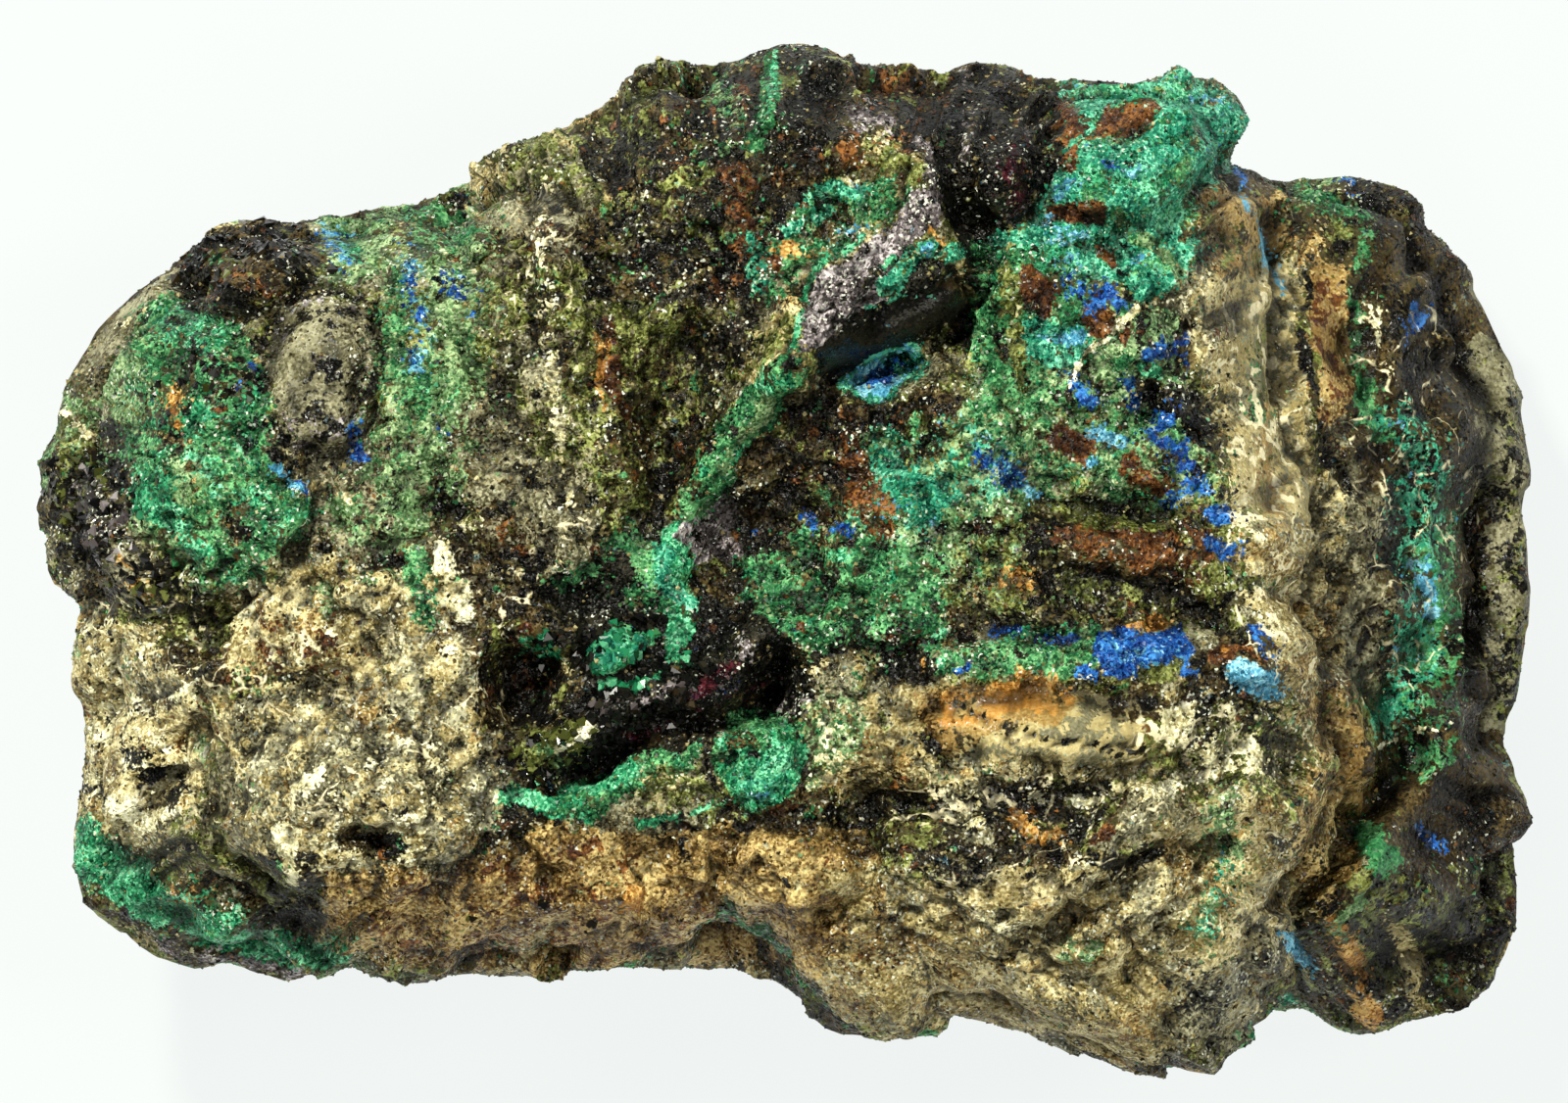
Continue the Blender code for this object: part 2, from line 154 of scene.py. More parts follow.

# Minerals from the bottom layer to the top: tones in sRGB steps of 0 to 255, roughness, height of
# the crust and how much painted glint is laid on it, both as shares
Mineral = namedtuple("Mineral", "name dark middle pale roughness height sparkle")
MINERALS = (
    Mineral("tan", (92, 80, 42), (154, 140, 92), (212, 202, 154), 0.5, 0.3, 0.6),
    Mineral("grey", (38, 36, 24), (98, 95, 70), (154, 151, 122), 0.45, 0.4, 0.7),
    Mineral("brown", (8, 6, 2), (36, 28, 14), (90, 76, 44), 0.4, 0.2, 0.5),
    Mineral("amber", (50, 33, 12), (130, 104, 56), (200, 178, 118), 0.3, 0.4, 0.7),
    Mineral("olive", (34, 38, 10), (84, 90, 40), (146, 154, 88), 0.4, 0.5, 0.5),
    Mineral("sage", (44, 72, 36), (96, 130, 84), (158, 182, 132), 0.45, 0.6, 0.4),
    Mineral("malachite", (6, 34, 18), (42, 106, 62), (112, 176, 116), 0.4, 0.7, 0.5),
    Mineral("emerald", (6, 58, 36), (40, 136, 90), (126, 206, 160), 0.3, 0.8, 0.4),
    Mineral("turquoise", (8, 68, 54), (42, 138, 106), (124, 206, 168), 0.4, 0.7, 0.4),
    Mineral("purple", (22, 19, 19), (92, 84, 84), (190, 182, 184), 0.3, 0.3, 2.0),
    Mineral("black", (2, 2, 2), (10, 10, 8), (42, 40, 30), 0.3, 0.1, 0.7),
    Mineral("wine", (14, 3, 6), (38, 9, 15), (74, 28, 36), 0.3, 0.3, 1.0),
    Mineral("rust", (26, 13, 6), (70, 40, 20), (134, 88, 42), 0.45, 0.4, 0.6),
    Mineral("ochre", (105, 66, 22), (160, 112, 48), (205, 168, 100), 0.45, 0.5, 0.3),
    Mineral("cream", (150, 140, 96), (208, 204, 160), (248, 248, 220), 0.5, 0.8, 0.3),
    Mineral("azurite", (6, 24, 78), (20, 68, 140), (62, 130, 200), 0.35, 0.9, 0.4),
    Mineral("sky", (42, 102, 130), (80, 152, 184), (150, 206, 220), 0.4, 0.9, 0.4),
)

# What noise alone lays down. Mineral, size of its patches in mm, where in the noise they start, level
GROUND_PATCHES = (
    ("grey", 7.0, -0.3, 0.75),
    ("brown", 3.5, 0.0, 0.75),
    ("olive", 5.0, 0.0, 0.6),
    ("cream", 1.8, 0.45, 0.5),
    ("rust", 2.6, 0.4, 0.55),
    ("black", 1.8, 0.42, 0.7),
)
WALL_PATCHES = (
    ("grey", 9.0, -0.15, 0.85),
    ("brown", 8.0, 0.0, 0.85),
    ("amber", 6.0, 0.2, 0.7),
    ("rust", 4.5, 0.3, 0.7),
    ("black", 6.0, 0.25, 0.8),
    ("cream", 2.6, 0.35, 0.6),
    ("olive", 5.0, 0.2, 0.7),
    ("sage", 7.0, 0.25, 0.7),
    ("malachite", 8.0, 0.2, 0.8),
    ("turquoise", 5.0, 0.4, 0.7),
    ("azurite", 3.0, 0.5, 0.7),
)
# What grows in patches on a mineral: that mineral, the one on it, size of patches, start, level
COMPANIONS = (
    ("turquoise", "sage", 2.2, 0.15, 0.7),
    ("turquoise", "sky", 1.6, 0.35, 0.7),
    ("turquoise", "emerald", 1.2, 0.2, 0.8),
    ("turquoise", "olive", 1.4, 0.3, 0.7),
    ("turquoise", "brown", 0.9, 0.42, 0.9),
    ("malachite", "sage", 1.8, 0.1, 0.7),
    ("malachite", "emerald", 1.2, 0.25, 0.8),
    ("malachite", "brown", 1.6, 0.3, 0.8),
    ("malachite", "black", 1.0, 0.3, 0.8),
    ("emerald", "malachite", 1.3, 0.1, 0.8),
    ("emerald", "black", 0.9, 0.4, 0.8),
    ("sage", "olive", 1.5, 0.15, 0.7),
    ("sage", "malachite", 1.1, 0.25, 0.8),
    ("sage", "brown", 1.2, 0.3, 0.8),
    ("tan", "grey", 2.4, 0.2, 0.6),
    ("tan", "amber", 1.8, 0.25, 0.6),
    ("tan", "brown", 1.1, 0.6, 0.7),
    ("tan", "sage", 2.4, 0.4, 0.5),
    ("amber", "brown", 1.2, 0.4, 0.7),
    ("amber", "rust", 1.8, 0.35, 0.6),
    ("brown", "black", 1.3, 0.05, 0.9),
    ("brown", "rust", 1.0, 0.3, 0.6),
    ("brown", "olive", 1.3, 0.2, 0.8),
    ("brown", "malachite", 1.2, 0.42, 0.7),
    ("purple", "black", 0.8, 0.35, 0.8),
    ("black", "grey", 0.8, 0.4, 0.6),
    ("black", "brown", 1.2, 0.15, 0.8),
)
# Over everything, sparsely: mineral, size, start, level
LAST_SPECKS = (
    ("brown", 1.5, 0.35, 0.5),
    ("black", 1.0, 0.5, 0.6),
)

# Shader: noise scales with detail for blotches, edges and grit, and how each moves edges and tones
NOISE_SCALES = ((500.0, 2.0), (1300.0, 3.0), (4200.0, 1.0))
COVER_GAIN = 1.1
COVER_START = -1.05
EDGE_CONTRAST = 3.0
EDGE_CRISP = 7.0
EDGE_GRIT = 0.35
TONE_STEEP = 3.2
BLOTCH_TONE = 1.4
GRIT_TONE = 0.55
SPECK_TONE = 0.5
CALM_TONES = (0.55, 0.5, 0.5)
FACET_CELLS = 7500.0
FACET_TILT = 0.8
GLINT_SPREAD = 0.9
GLINT_MEAN = 0.8
# Painted glints: small cells painted near white in the base colour in place of reflections: share, crispness,
# clusters by noise and colour
PAINTED_GLINT_SHARE = 0.035
PAINTED_GLINT_CRISP = 25.0
PAINTED_GLINT_CLUSTERS = (2.0, 201, 2)
CLUSTER_MEAN = 0.8
CLUSTER_SPREAD = 2.4
CLUSTER_LIMITS = (0.1, 2.5)
PAINTED_GLINT_COLOUR = (196, 200, 184)
BUMP_DEPTH = 0.0003
BUMP_SCALE = 2200.0
BUMP_DETAIL = 2.5
CRUST_THICKNESS = 0.22  # mm, of a mineral whose height is 1
CRUST_MEAN = 0.6
CRUST_SPREAD = 0.5
CRUST_NOISE = (0.7, 171)

# Loose grains: how many are drawn, radius in mm, and rise as a share of it
SEED = 20
GRAIN_COUNT = 120000
GRAIN_RADIUS = (0.05, 0.15)
GRAIN_RISE = -0.35
GRAIN_CHANCE = 1.0
GRAIN_SHINE = 0.35
GRAIN_STRETCH = 0.5
GRAIN_TONE = (0.75, 0.5)
GRAINS_ON_SMOOTH = 0.9
SIDE_BONUS = 0.35
LEAST_WEIGHT = 0.04
CRYSTAL_COUNT = 3000
CRYSTAL_RADIUS = (0.1, 0.34)
CRYSTAL_RISE = -0.3
CRYSTAL_ROUGHNESS = 0.15
CRYSTAL_KINDS = ("black", "purple", "malachite", "emerald", "turquoise", "brown", "olive")
GRAIN_PIECES = (
    ("malachite_grains", ("malachite", "sage", "emerald", "turquoise"), 0.3, 20000),
    ("azurite_grains", ("azurite", "sky"), 0.25, 6000),
    ("rock_grains", ("tan", "grey"), 0.4, 9000),
    ("dark_grains", ("black", "purple", "wine", "brown", "rust", "olive"), 0.3, 22000),
    ("pale_grains", ("cream", "ochre", "amber"), 0.35, 5000),
)

# Studio, in metres and watts: the camera looks straight down at a frame this wide, at this height
LENS = 400.0
FRAME_WIDTH = 0.080
FRAME_HEIGHT = 0.017
FRAME_CENTRE = (-0.00029, 0.00047)
FLOOR_HALF = 0.6
FLOOR_COLOUR = (0.080, 0.0835, 0.0825)
WORLD_COLOUR = (1.0, 1.0, 0.97)
WORLD_STRENGTH = 0.15
FLOOR_GLOW = 10.4
LIGHT_COLOUR = (1.0, 0.98, 0.87)
LIGHT_TARGET = (0, 0, 0.02)
LIGHTS = (
    ("key", (-0.16, 0.30, 0.44), 3.2, 0.06),
    ("fill", (0.26, 0.05, 0.50), 0.8, 0.12),
    ("low fill", (-0.05, -0.25, 0.50), 0.6, 0.20),
)

# Outlines seen from above, anticlockwise, as in the CAD solid
FRONT_OUTLINE = (
    (-38.4, 3.5), (-38.3, 2.5), (-37.9, 0.5), (-37.2, -1.3), (-36.2, -2.5), (-36.5, -5.5),
    (-36.0, -8.5), (-36.2, -11.5), (-36.4, -14.0), (-36.3, -16.0), (-35.9, -17.8),
    (-34.5, -19.1), (-32.5, -20.6), (-30.3, -21.3), (-28.8, -20.9), (-27.5, -21.5),
    (-25.8, -22.0), (-23.5, -21.4), (-21.9, -20.6), (-20.5, -21.2), (-18.8, -21.7),
    (-15.8, -21.4), (-12.7, -21.4), (-10.2, -20.9), (-8.0, -20.6), (-5.5, -20.8),
    (-2.6, -20.9), (-0.5, -21.6), (0.9, -22.8), (1.2, -23.6), (2.8, -24.6), (5.3, -24.9),
    (7.7, -24.3), (8.9, -23.7), (10.7, -23.7), (12.2, -24.0), (14.4, -25.1), (17.1, -25.9),
    (19.4, -26.4), (21.8, -26.1), (22.3, -25.2), (24.5, -23.8), (26.5, -21.5), (27.4, -19.0),
    (28.6, -16.8), (29.7, -14.0), (29.9, -10.5), (29.6, -7.0), (28.8, -4.5), (27.5, -1.5),
    (26.8, 2.5), (26.4, 8.5), (26.5, 15.5), (25.8, 18.6), (24.2, 19.8), (22.9, 20.3),
    (23.1, 21.3), (23.6, 22.1), (22.9, 23.5), (22.1, 24.4), (20.5, 24.6), (17.6, 24.4),
    (15.5, 24.5), (13.1, 24.5), (11.6, 25.2), (9.8, 25.4), (7.9, 25.0), (5.5, 25.4),
    (3.3, 25.7), (2.3, 26.3), (0.0, 26.5), (-2.2, 25.7), (-4.6, 25.2), (-6.2, 25.3),
    (-8.0, 24.1), (-8.4, 23.2), (-10.3, 22.1), (-12.3, 21.4), (-14.9, 20.5), (-16.7, 19.4),
    (-18.9, 18.5), (-21.9, 18.0), (-24.0, 17.4), (-26.4, 17.5), (-28.9, 17.2), (-30.7, 16.0),
    (-31.7, 14.9), (-33.6, 13.6), (-35.5, 11.8), (-37.0, 8.8), (-37.4, 6.4), (-38.2, 5.2),
)
FRONT_CENTRE = (-3.0, 0.5)
BACK_OUTLINE = (
    (-2.0, -1.5), (0.0, -11.5), (10.0, -19.0), (20.0, -22.5), (25.0, -23.4), (26.6, -23.4),
    (27.3, -23.7), (28.2, -24.4), (29.3, -24.6), (30.6, -24.3), (32.2, -23.6), (35.4, -22.7),
    (36.5, -21.6), (37.8, -19.1), (37.8, -17.6), (37.6, -14.6), (38.2, -13.5), (38.3, -12.5),
    (37.8, -11.5), (37.4, -9.9), (37.5, -8.6), (38.2, -5.1), (38.5, -1.5), (38.1, 2.0),
    (38.3, 4.5), (38.1, 7.0), (37.8, 10.2), (37.2, 11.3), (35.6, 13.8), (35.1, 15.1),
    (34.1, 16.1), (32.9, 17.0), (32.9, 18.2), (31.3, 19.1), (28.8, 19.7), (25.9, 19.6),
    (23.6, 19.9), (20.0, 18.8), (10.0, 16.0), (0.0, 8.5),
)
BACK_CENTRE = (18.0, -2.0)

# A swelling or hollow in a face: middle, half sizes, turn in degrees, rise, and share of slope
Swell = namedtuple("Swell", "name x y along across turn rise slope")
# A ridge or crease: half width, rise, and the line that it follows
Fold = namedtuple("Fold", "name half_width rise line")

FRONT_SWELLS = (
    Swell("sunken middle", -3.0, 0.0, 13.0, 10.0, 20, -2.6, 1.0),
    Swell("top brow", 3.0, 20.5, 15.0, 6.0, -3, 1.8, 1.0),
    Swell("lower right block", 14.0, -15.0, 14.0, 9.0, 10, 2.0, 1.0),
    Swell("lower left lobe", -21.5, -14.0, 8.0, 7.0, -20, 2.8, 0.7),
    Swell("bottom belly", -8.0, -17.5, 11.0, 4.0, 2, 1.2, 1.0),
    Swell("outer left slope", -37.0, 9.5, 4.5, 8.0, 20, -3.2, 0.8),
    Swell("pale left slope", -34.0, -9.5, 5.0, 7.5, 0, -2.6, 0.6),
    Swell("green toe", -31.0, -19.0, 9.5, 5.5, -12, -5.5, 0.45),
    Swell("long trough", -5.6, 7.6, 2.9, 6.0, -12, -2.0, 0.8),
    Swell("bowl", 4.0, 18.0, 3.2, 3.0, 0, -1.3, 0.8),
    Swell("dark knob", 11.3, 20.6, 2.9, 4.9, -8, 2.6, 0.8),
    Swell("top left knob", -6.3, 23.4, 2.3, 1.9, 10, 1.4, 0.9),
    Swell("top right shoulder", 17.6, 20.6, 5.6, 4.0, 0, 1.8, 0.4),
    Swell("under the facet", 5.8, 9.6, 3.6, 1.5, 28, -1.8, 0.8),
    Swell("ringed knob", 18.2, 10.6, 2.2, 2.4, 0, 1.1, 0.6),
    Swell("deep left pit", -13.2, -6.4, 2.9, 2.6, 35, -4.4, 0.75),
    Swell("pit above it", -10.6, -2.4, 2.6, 1.6, 20, -1.6, 0.8),
    Swell("central pit", -0.6, -6.2, 2.6, 1.9, 30, -2.6, 0.8),
    Swell("raised crystal block", -8.3, -4.6, 2.2, 1.3, 25, 1.7, 0.4),
    Swell("lower crystal block", -10.0, -8.8, 2.4, 1.1, 22, 1.2, 0.5),
    Swell("green tongue", -1.0, -10.2, 2.5, 2.9, -25, 1.0, 0.5),
    Swell("brown lobe", 0.6, -15.8, 4.3, 2.9, 0, 1.3, 0.35),
    Swell("smooth boss", 12.5, -8.6, 7.4, 2.8, -4, 1.7, 0.9),
    Swell("brown cave", 16.5, -1.4, 6.0, 2.2, -6, -1.5, 0.7),
    Swell("malachite cushion", -28.4, 4.6, 5.0, 6.8, 12, 1.7, 0.4),
    Swell("brown knob", -27.2, 14.6, 3.8, 2.9, 8, 2.4, 0.45),
    Swell("grey plate", -23.2, 9.4, 3.0, 4.3, -5, 1.5, 0.35),
    Swell("black knobs", -34.6, 2.4, 3.4, 4.0, 0, 1.3, 0.8),
)
FRONT_FOLDS = (
    Fold("left crest", 2.0, 1.5, ((-12.2, 19.8), (-11.4, 13.5), (-11.1, 8.5), (-9.8, 4.5), (-11.5, -2.5))),
    Fold("purple crest", 1.6, 2.1, ((7.8, 19.4), (6.8, 16.8), (4.0, 14.5), (1.8, 12.0), (0.2, 9.2))),
    Fold("green vein", 1.0, 1.0, ((0.2, 9.2), (-1.2, 7.8), (-3.3, 5.5), (-5.0, 1.5), (-6.5, -1.5))),
    Fold("facet crease", 1.0, -1.8, ((2.4, 8.6), (5.0, 9.9), (7.5, 11.3), (9.4, 12.2))),
    Fold("dark slit", 0.8, -2.0, ((7.9, 20.0), (8.6, 17.6), (9.8, 16.1), (9.6, 14.0), (8.9, 12.0))),
    Fold("knob crease", 0.9, -1.6, ((13.5, 23.6), (13.7, 19.6), (12.7, 17.1), (10.1, 16.0))),
    Fold("lower crest", 1.3, 1.6, ((3.0, -3.2), (-0.5, -4.4), (-4.0, -6.2), (-7.5, -7.6))),
    Fold("lower crease", 1.2, -1.9, ((0.0, -6.6), (-4.0, -8.0), (-7.5, -9.7), (-10.8, -11.6))),
    Fold("green rib", 1.0, 1.0, ((-3.6, -9.0), (-7.5, -11.2), (-10.8, -12.7), (-14.0, -13.0))),
    Fold("olive groove", 1.0, -1.5, ((11.6, 3.7), (15.5, 2.9), (19.2, 2.3))),
    Fold("cave floor", 0.9, -1.3, ((6.5, -3.4), (13.0, -3.8), (22.5, -3.3))),
    Fold("blue ledge", 1.2, 0.9, ((7.0, -4.9), (15.0, -5.1), (24.5, -5.6))),
    Fold("shadow band", 1.3, -1.3, ((4.0, -11.7), (8.0, -12.8), (13.0, -12.3), (17.5, -11.2),
        (22.5, -9.6))),
    Fold("overhang lip", 1.0, 0.9, ((9.5, -18.6), (13.0, -16.8), (15.5, -14.9), (18.5, -13.4),
        (23.0, -12.3))),
    Fold("overhang crease", 0.9, -1.9, ((10.5, -19.9), (13.5, -18.0), (16.0, -16.4), (18.7, -14.9),
        (21.5, -14.2))),
    Fold("lobe crease", 0.8, -1.1, ((4.0, -13.0), (5.0, -15.0), (4.2, -17.2), (2.0, -18.4))),
    Fold("left ledge", 1.2, -1.7, ((-37.0, -1.5), (-33.5, -3.6), (-30.0, -4.1), (-27.8, -2.6))),
    Fold("lobe foot", 1.1, -1.5, ((-30.4, -10.0), (-29.6, -13.6), (-25.0, -17.6), (-22.4, -20.6))),
)
BROW_LINE = ((-27.0, 30.0), (-8.0, 30.0), (-5.5, 28.2), (-2.5, 25.4), (2.0, 23.2), (8.0, 21.9),
             (15.5, 20.7), (17.0, 21.2), (20.0, 22.9), (27.0, 24.0))
BROW_STEP = 1.2
BROW_EDGE = 0.8
BROW_FALL = 1.15
BROW_REACH = 6.0
BACK_START = 27.0

FRONT_BREAKS = ((-93, 44), (-58, 32), (-128, 40), (178, 48), (150, 34), (118, 50), (86, 40), (-20, 40))
BACK_BREAKS = ((-4, 38), (-48, 48), (38, 42), (-88, 34), (84, 44))
BREAK_START = 0.85

BACK_SWELLS = (
    Swell("corner knob", 30.9, 17.6, 2.8, 2.3, 0, 2.0, 0.6),
    Swell("lower lump", 32.0, -18.5, 6.0, 6.5, 20, 3.4, 0.8),
    Swell("side bump", 36.6, -12.6, 2.4, 2.4, 0, 2.0, 0.9),
    Swell("outer hollow", 31.0, -6.0, 3.6, 5.0, 15, -1.6, 0.9),
)
BACK_FOLDS = (
    Fold("diagonal fold", 1.3, 1.7, ((35.5, -5.0), (34.0, -10.0), (30.5, -15.0), (26.5, -20.0))),
    Fold("under the fold", 1.1, -1.5, ((32.0, -8.5), (29.5, -12.5), (26.5, -16.5))),
    Fold("outer fold", 1.1, 1.0, ((34.5, 14.0), (35.8, 7.5), (36.4, 3.0), (36.6, -3.0))),
    Fold("strip crease", 0.8, -0.9, ((29.6, 16.0), (29.9, 10.0), (31.5, 3.0), (32.5, -3.0))),
)

# Finer forms, too small for the CAD solid
FINE_SWELLS = (
    Swell("boss pits", 17.8, -14.8, 0.8, 0.4, 10, -0.9, 0.6),
    Swell("boss pit", 15.7, -16.5, 0.6, 0.4, 0, -0.9, 0.6),
    Swell("lower pit", 11.1, -18.1, 0.6, 0.6, 0, -0.8, 0.6),
    Swell("toe pit", 17.3, -21.0, 0.5, 0.5, 0, -0.8, 0.6),
    Swell("lobe hollow", -21.1, -14.2, 1.6, 0.7, -15, -1.1, 0.6),
    Swell("belly hollow", -11.9, -16.1, 1.2, 0.9, 20, -1.1, 0.6),
    Swell("black pit", 18.5, 7.8, 1.1, 0.9, 0, -1.0, 0.6),
    Swell("knob pit", -31.3, -10.9, 1.2, 1.2, 0, -0.9, 0.7),
    Swell("pale pit", -34.2, -12.2, 0.7, 0.8, 0, -0.8, 0.7),
    Swell("amber bead", -7.9, -17.1, 0.9, 0.9, 0, 0.9, 1.0),
    Swell("bead shoulder", -6.9, -18.0, 0.8, 0.5, -20, 0.5, 1.0),
    Swell("shadow under the cushion", -29.6, -2.8, 2.6, 0.9, -10, -1.3, 0.7),
    Swell("eye hollow", 5.2, 9.0, 2.6, 1.1, 28, -0.9, 0.4),
)
FINE_FOLDS = (
    Fold("boss crack", 0.13, -0.5, ((9.1, -7.6), (10.9, -8.6), (12.2, -8.9), (14.1, -9.3), (17.6, -9.5),
        (17.9, -8.8))),
    Fold("lobe crack", 0.2, -0.7, ((4.8, -15.5), (4.5, -16.8), (3.0, -17.5), (2.1, -18.4))),
    Fold("plate crack", 0.25, -0.7, ((-20.5, 12.8), (-21.0, 10.5), (-21.9, 6.8))),
    Fold("right crack", 0.22, -1.1, ((26.3, 15.5), (26.4, 12.6), (26.4, 9.8), (27.0, 8.2), (27.6, 5.2))),
    Fold("rootlet", 0.25, 0.35, ((-12.1, -18.9), (-12.6, -19.6), (-13.6, -20.3), (-15.3, -20.9))),
    Fold("cushion rim", 0.5, 0.6, ((-31.9, 1.8), (-30.6, -0.1), (-29.1, -1.4))),
    Fold("bowl rim", 0.5, 0.5, ((1.5, 21.0), (4.5, 21.5), (7.2, 19.8), (8.0, 17.5))),
)

# Where larger crystals grow, by how densely
Stroke = namedtuple("Stroke", "mineral level soft half_width line")
CRYSTAL_PLACES = (
    Stroke("crystals", 1.0, 0.4, 0.9, ((-9.4, -4.9), (-7.0, -3.7))),
    Stroke("crystals", 1.0, 0.4, 0.5, ((-12.4, -5.0), (-11.2, -4.2))),
    Stroke("crystals", 1.0, 0.4, 0.4, ((-9.2, -6.6), (-7.2, -6.1))),
    Stroke("crystals", 0.9, 0.6, 1.2, ((-12.6, -10.4), (-9.6, -8.6))),
    Stroke("crystals", 0.5, 0.6, 1.2, ((-7.5, -8.4), (-4.5, -6.2))),
    Stroke("crystals", 0.35, 1.0, 1.8, ((-29.2, 15.2), (-25.8, 15.0))),
    Stroke("crystals", 0.3, 1.0, 1.0, ((-30.0, 9.5), (-27.5, 8.5))),
    Stroke("crystals", 0.35, 1.0, 1.6, ((-36.0, 3.6), (-32.0, -1.0))),
    Stroke("crystals", 0.12, 0.8, 0.8, ((-20.0, -17.5), (-10.0, -16.6), (-2.0, -17.5))),
)
# Smooth places on the face, by how smooth they are
SMOOTH = (
    Stroke("smooth", 1.0, 0.5, 1.1, ((3.0, 10.2), (5.2, 11.5), (8.2, 12.9))),
    Stroke("smooth", 0.95, 0.8, 1.7, ((9.5, -8.3), (13.0, -8.4), (17.5, -8.6))),
    Stroke("smooth", 0.6, 0.6, 1.7, ((-23.8, 11.0), (-23.0, 7.4))),
    Stroke("smooth", 0.8, 1.0, 1.8, ((23.4, 18.0), (24.3, 10.0), (25.0, 3.0))),
    Stroke("smooth", 0.8, 0.8, 0.9, ((27.5, 15.0), (27.8, 9.0))),
    Stroke("smooth", 0.65, 1.5, 3.0, ((35.5, 12.0), (37.5, 0.0), (36.0, -10.0))),
    Stroke("smooth", 0.65, 1.5, 3.0, ((31.5, 14.0), (32.0, 0.0), (31.0, -10.0), (32.0, -19.0))),
    Stroke("smooth", 0.5, 1.0, 1.5, ((-36.5, 10.5), (-34.0, 13.5))),
)

# Where each mineral lies. A zone is an area with its corners, a stroke a line with its half width.
# Level is the share that is covered, soft the width of the edge. Later entries lie over earlier ones.
Zone = namedtuple("Zone", "mineral level soft corners")


def layers(corners, *entries):
    """Zones of several minerals over one area: mineral, level and soft of each, the lowest first."""
    return tuple(Zone(*entry, corners) for entry in entries)


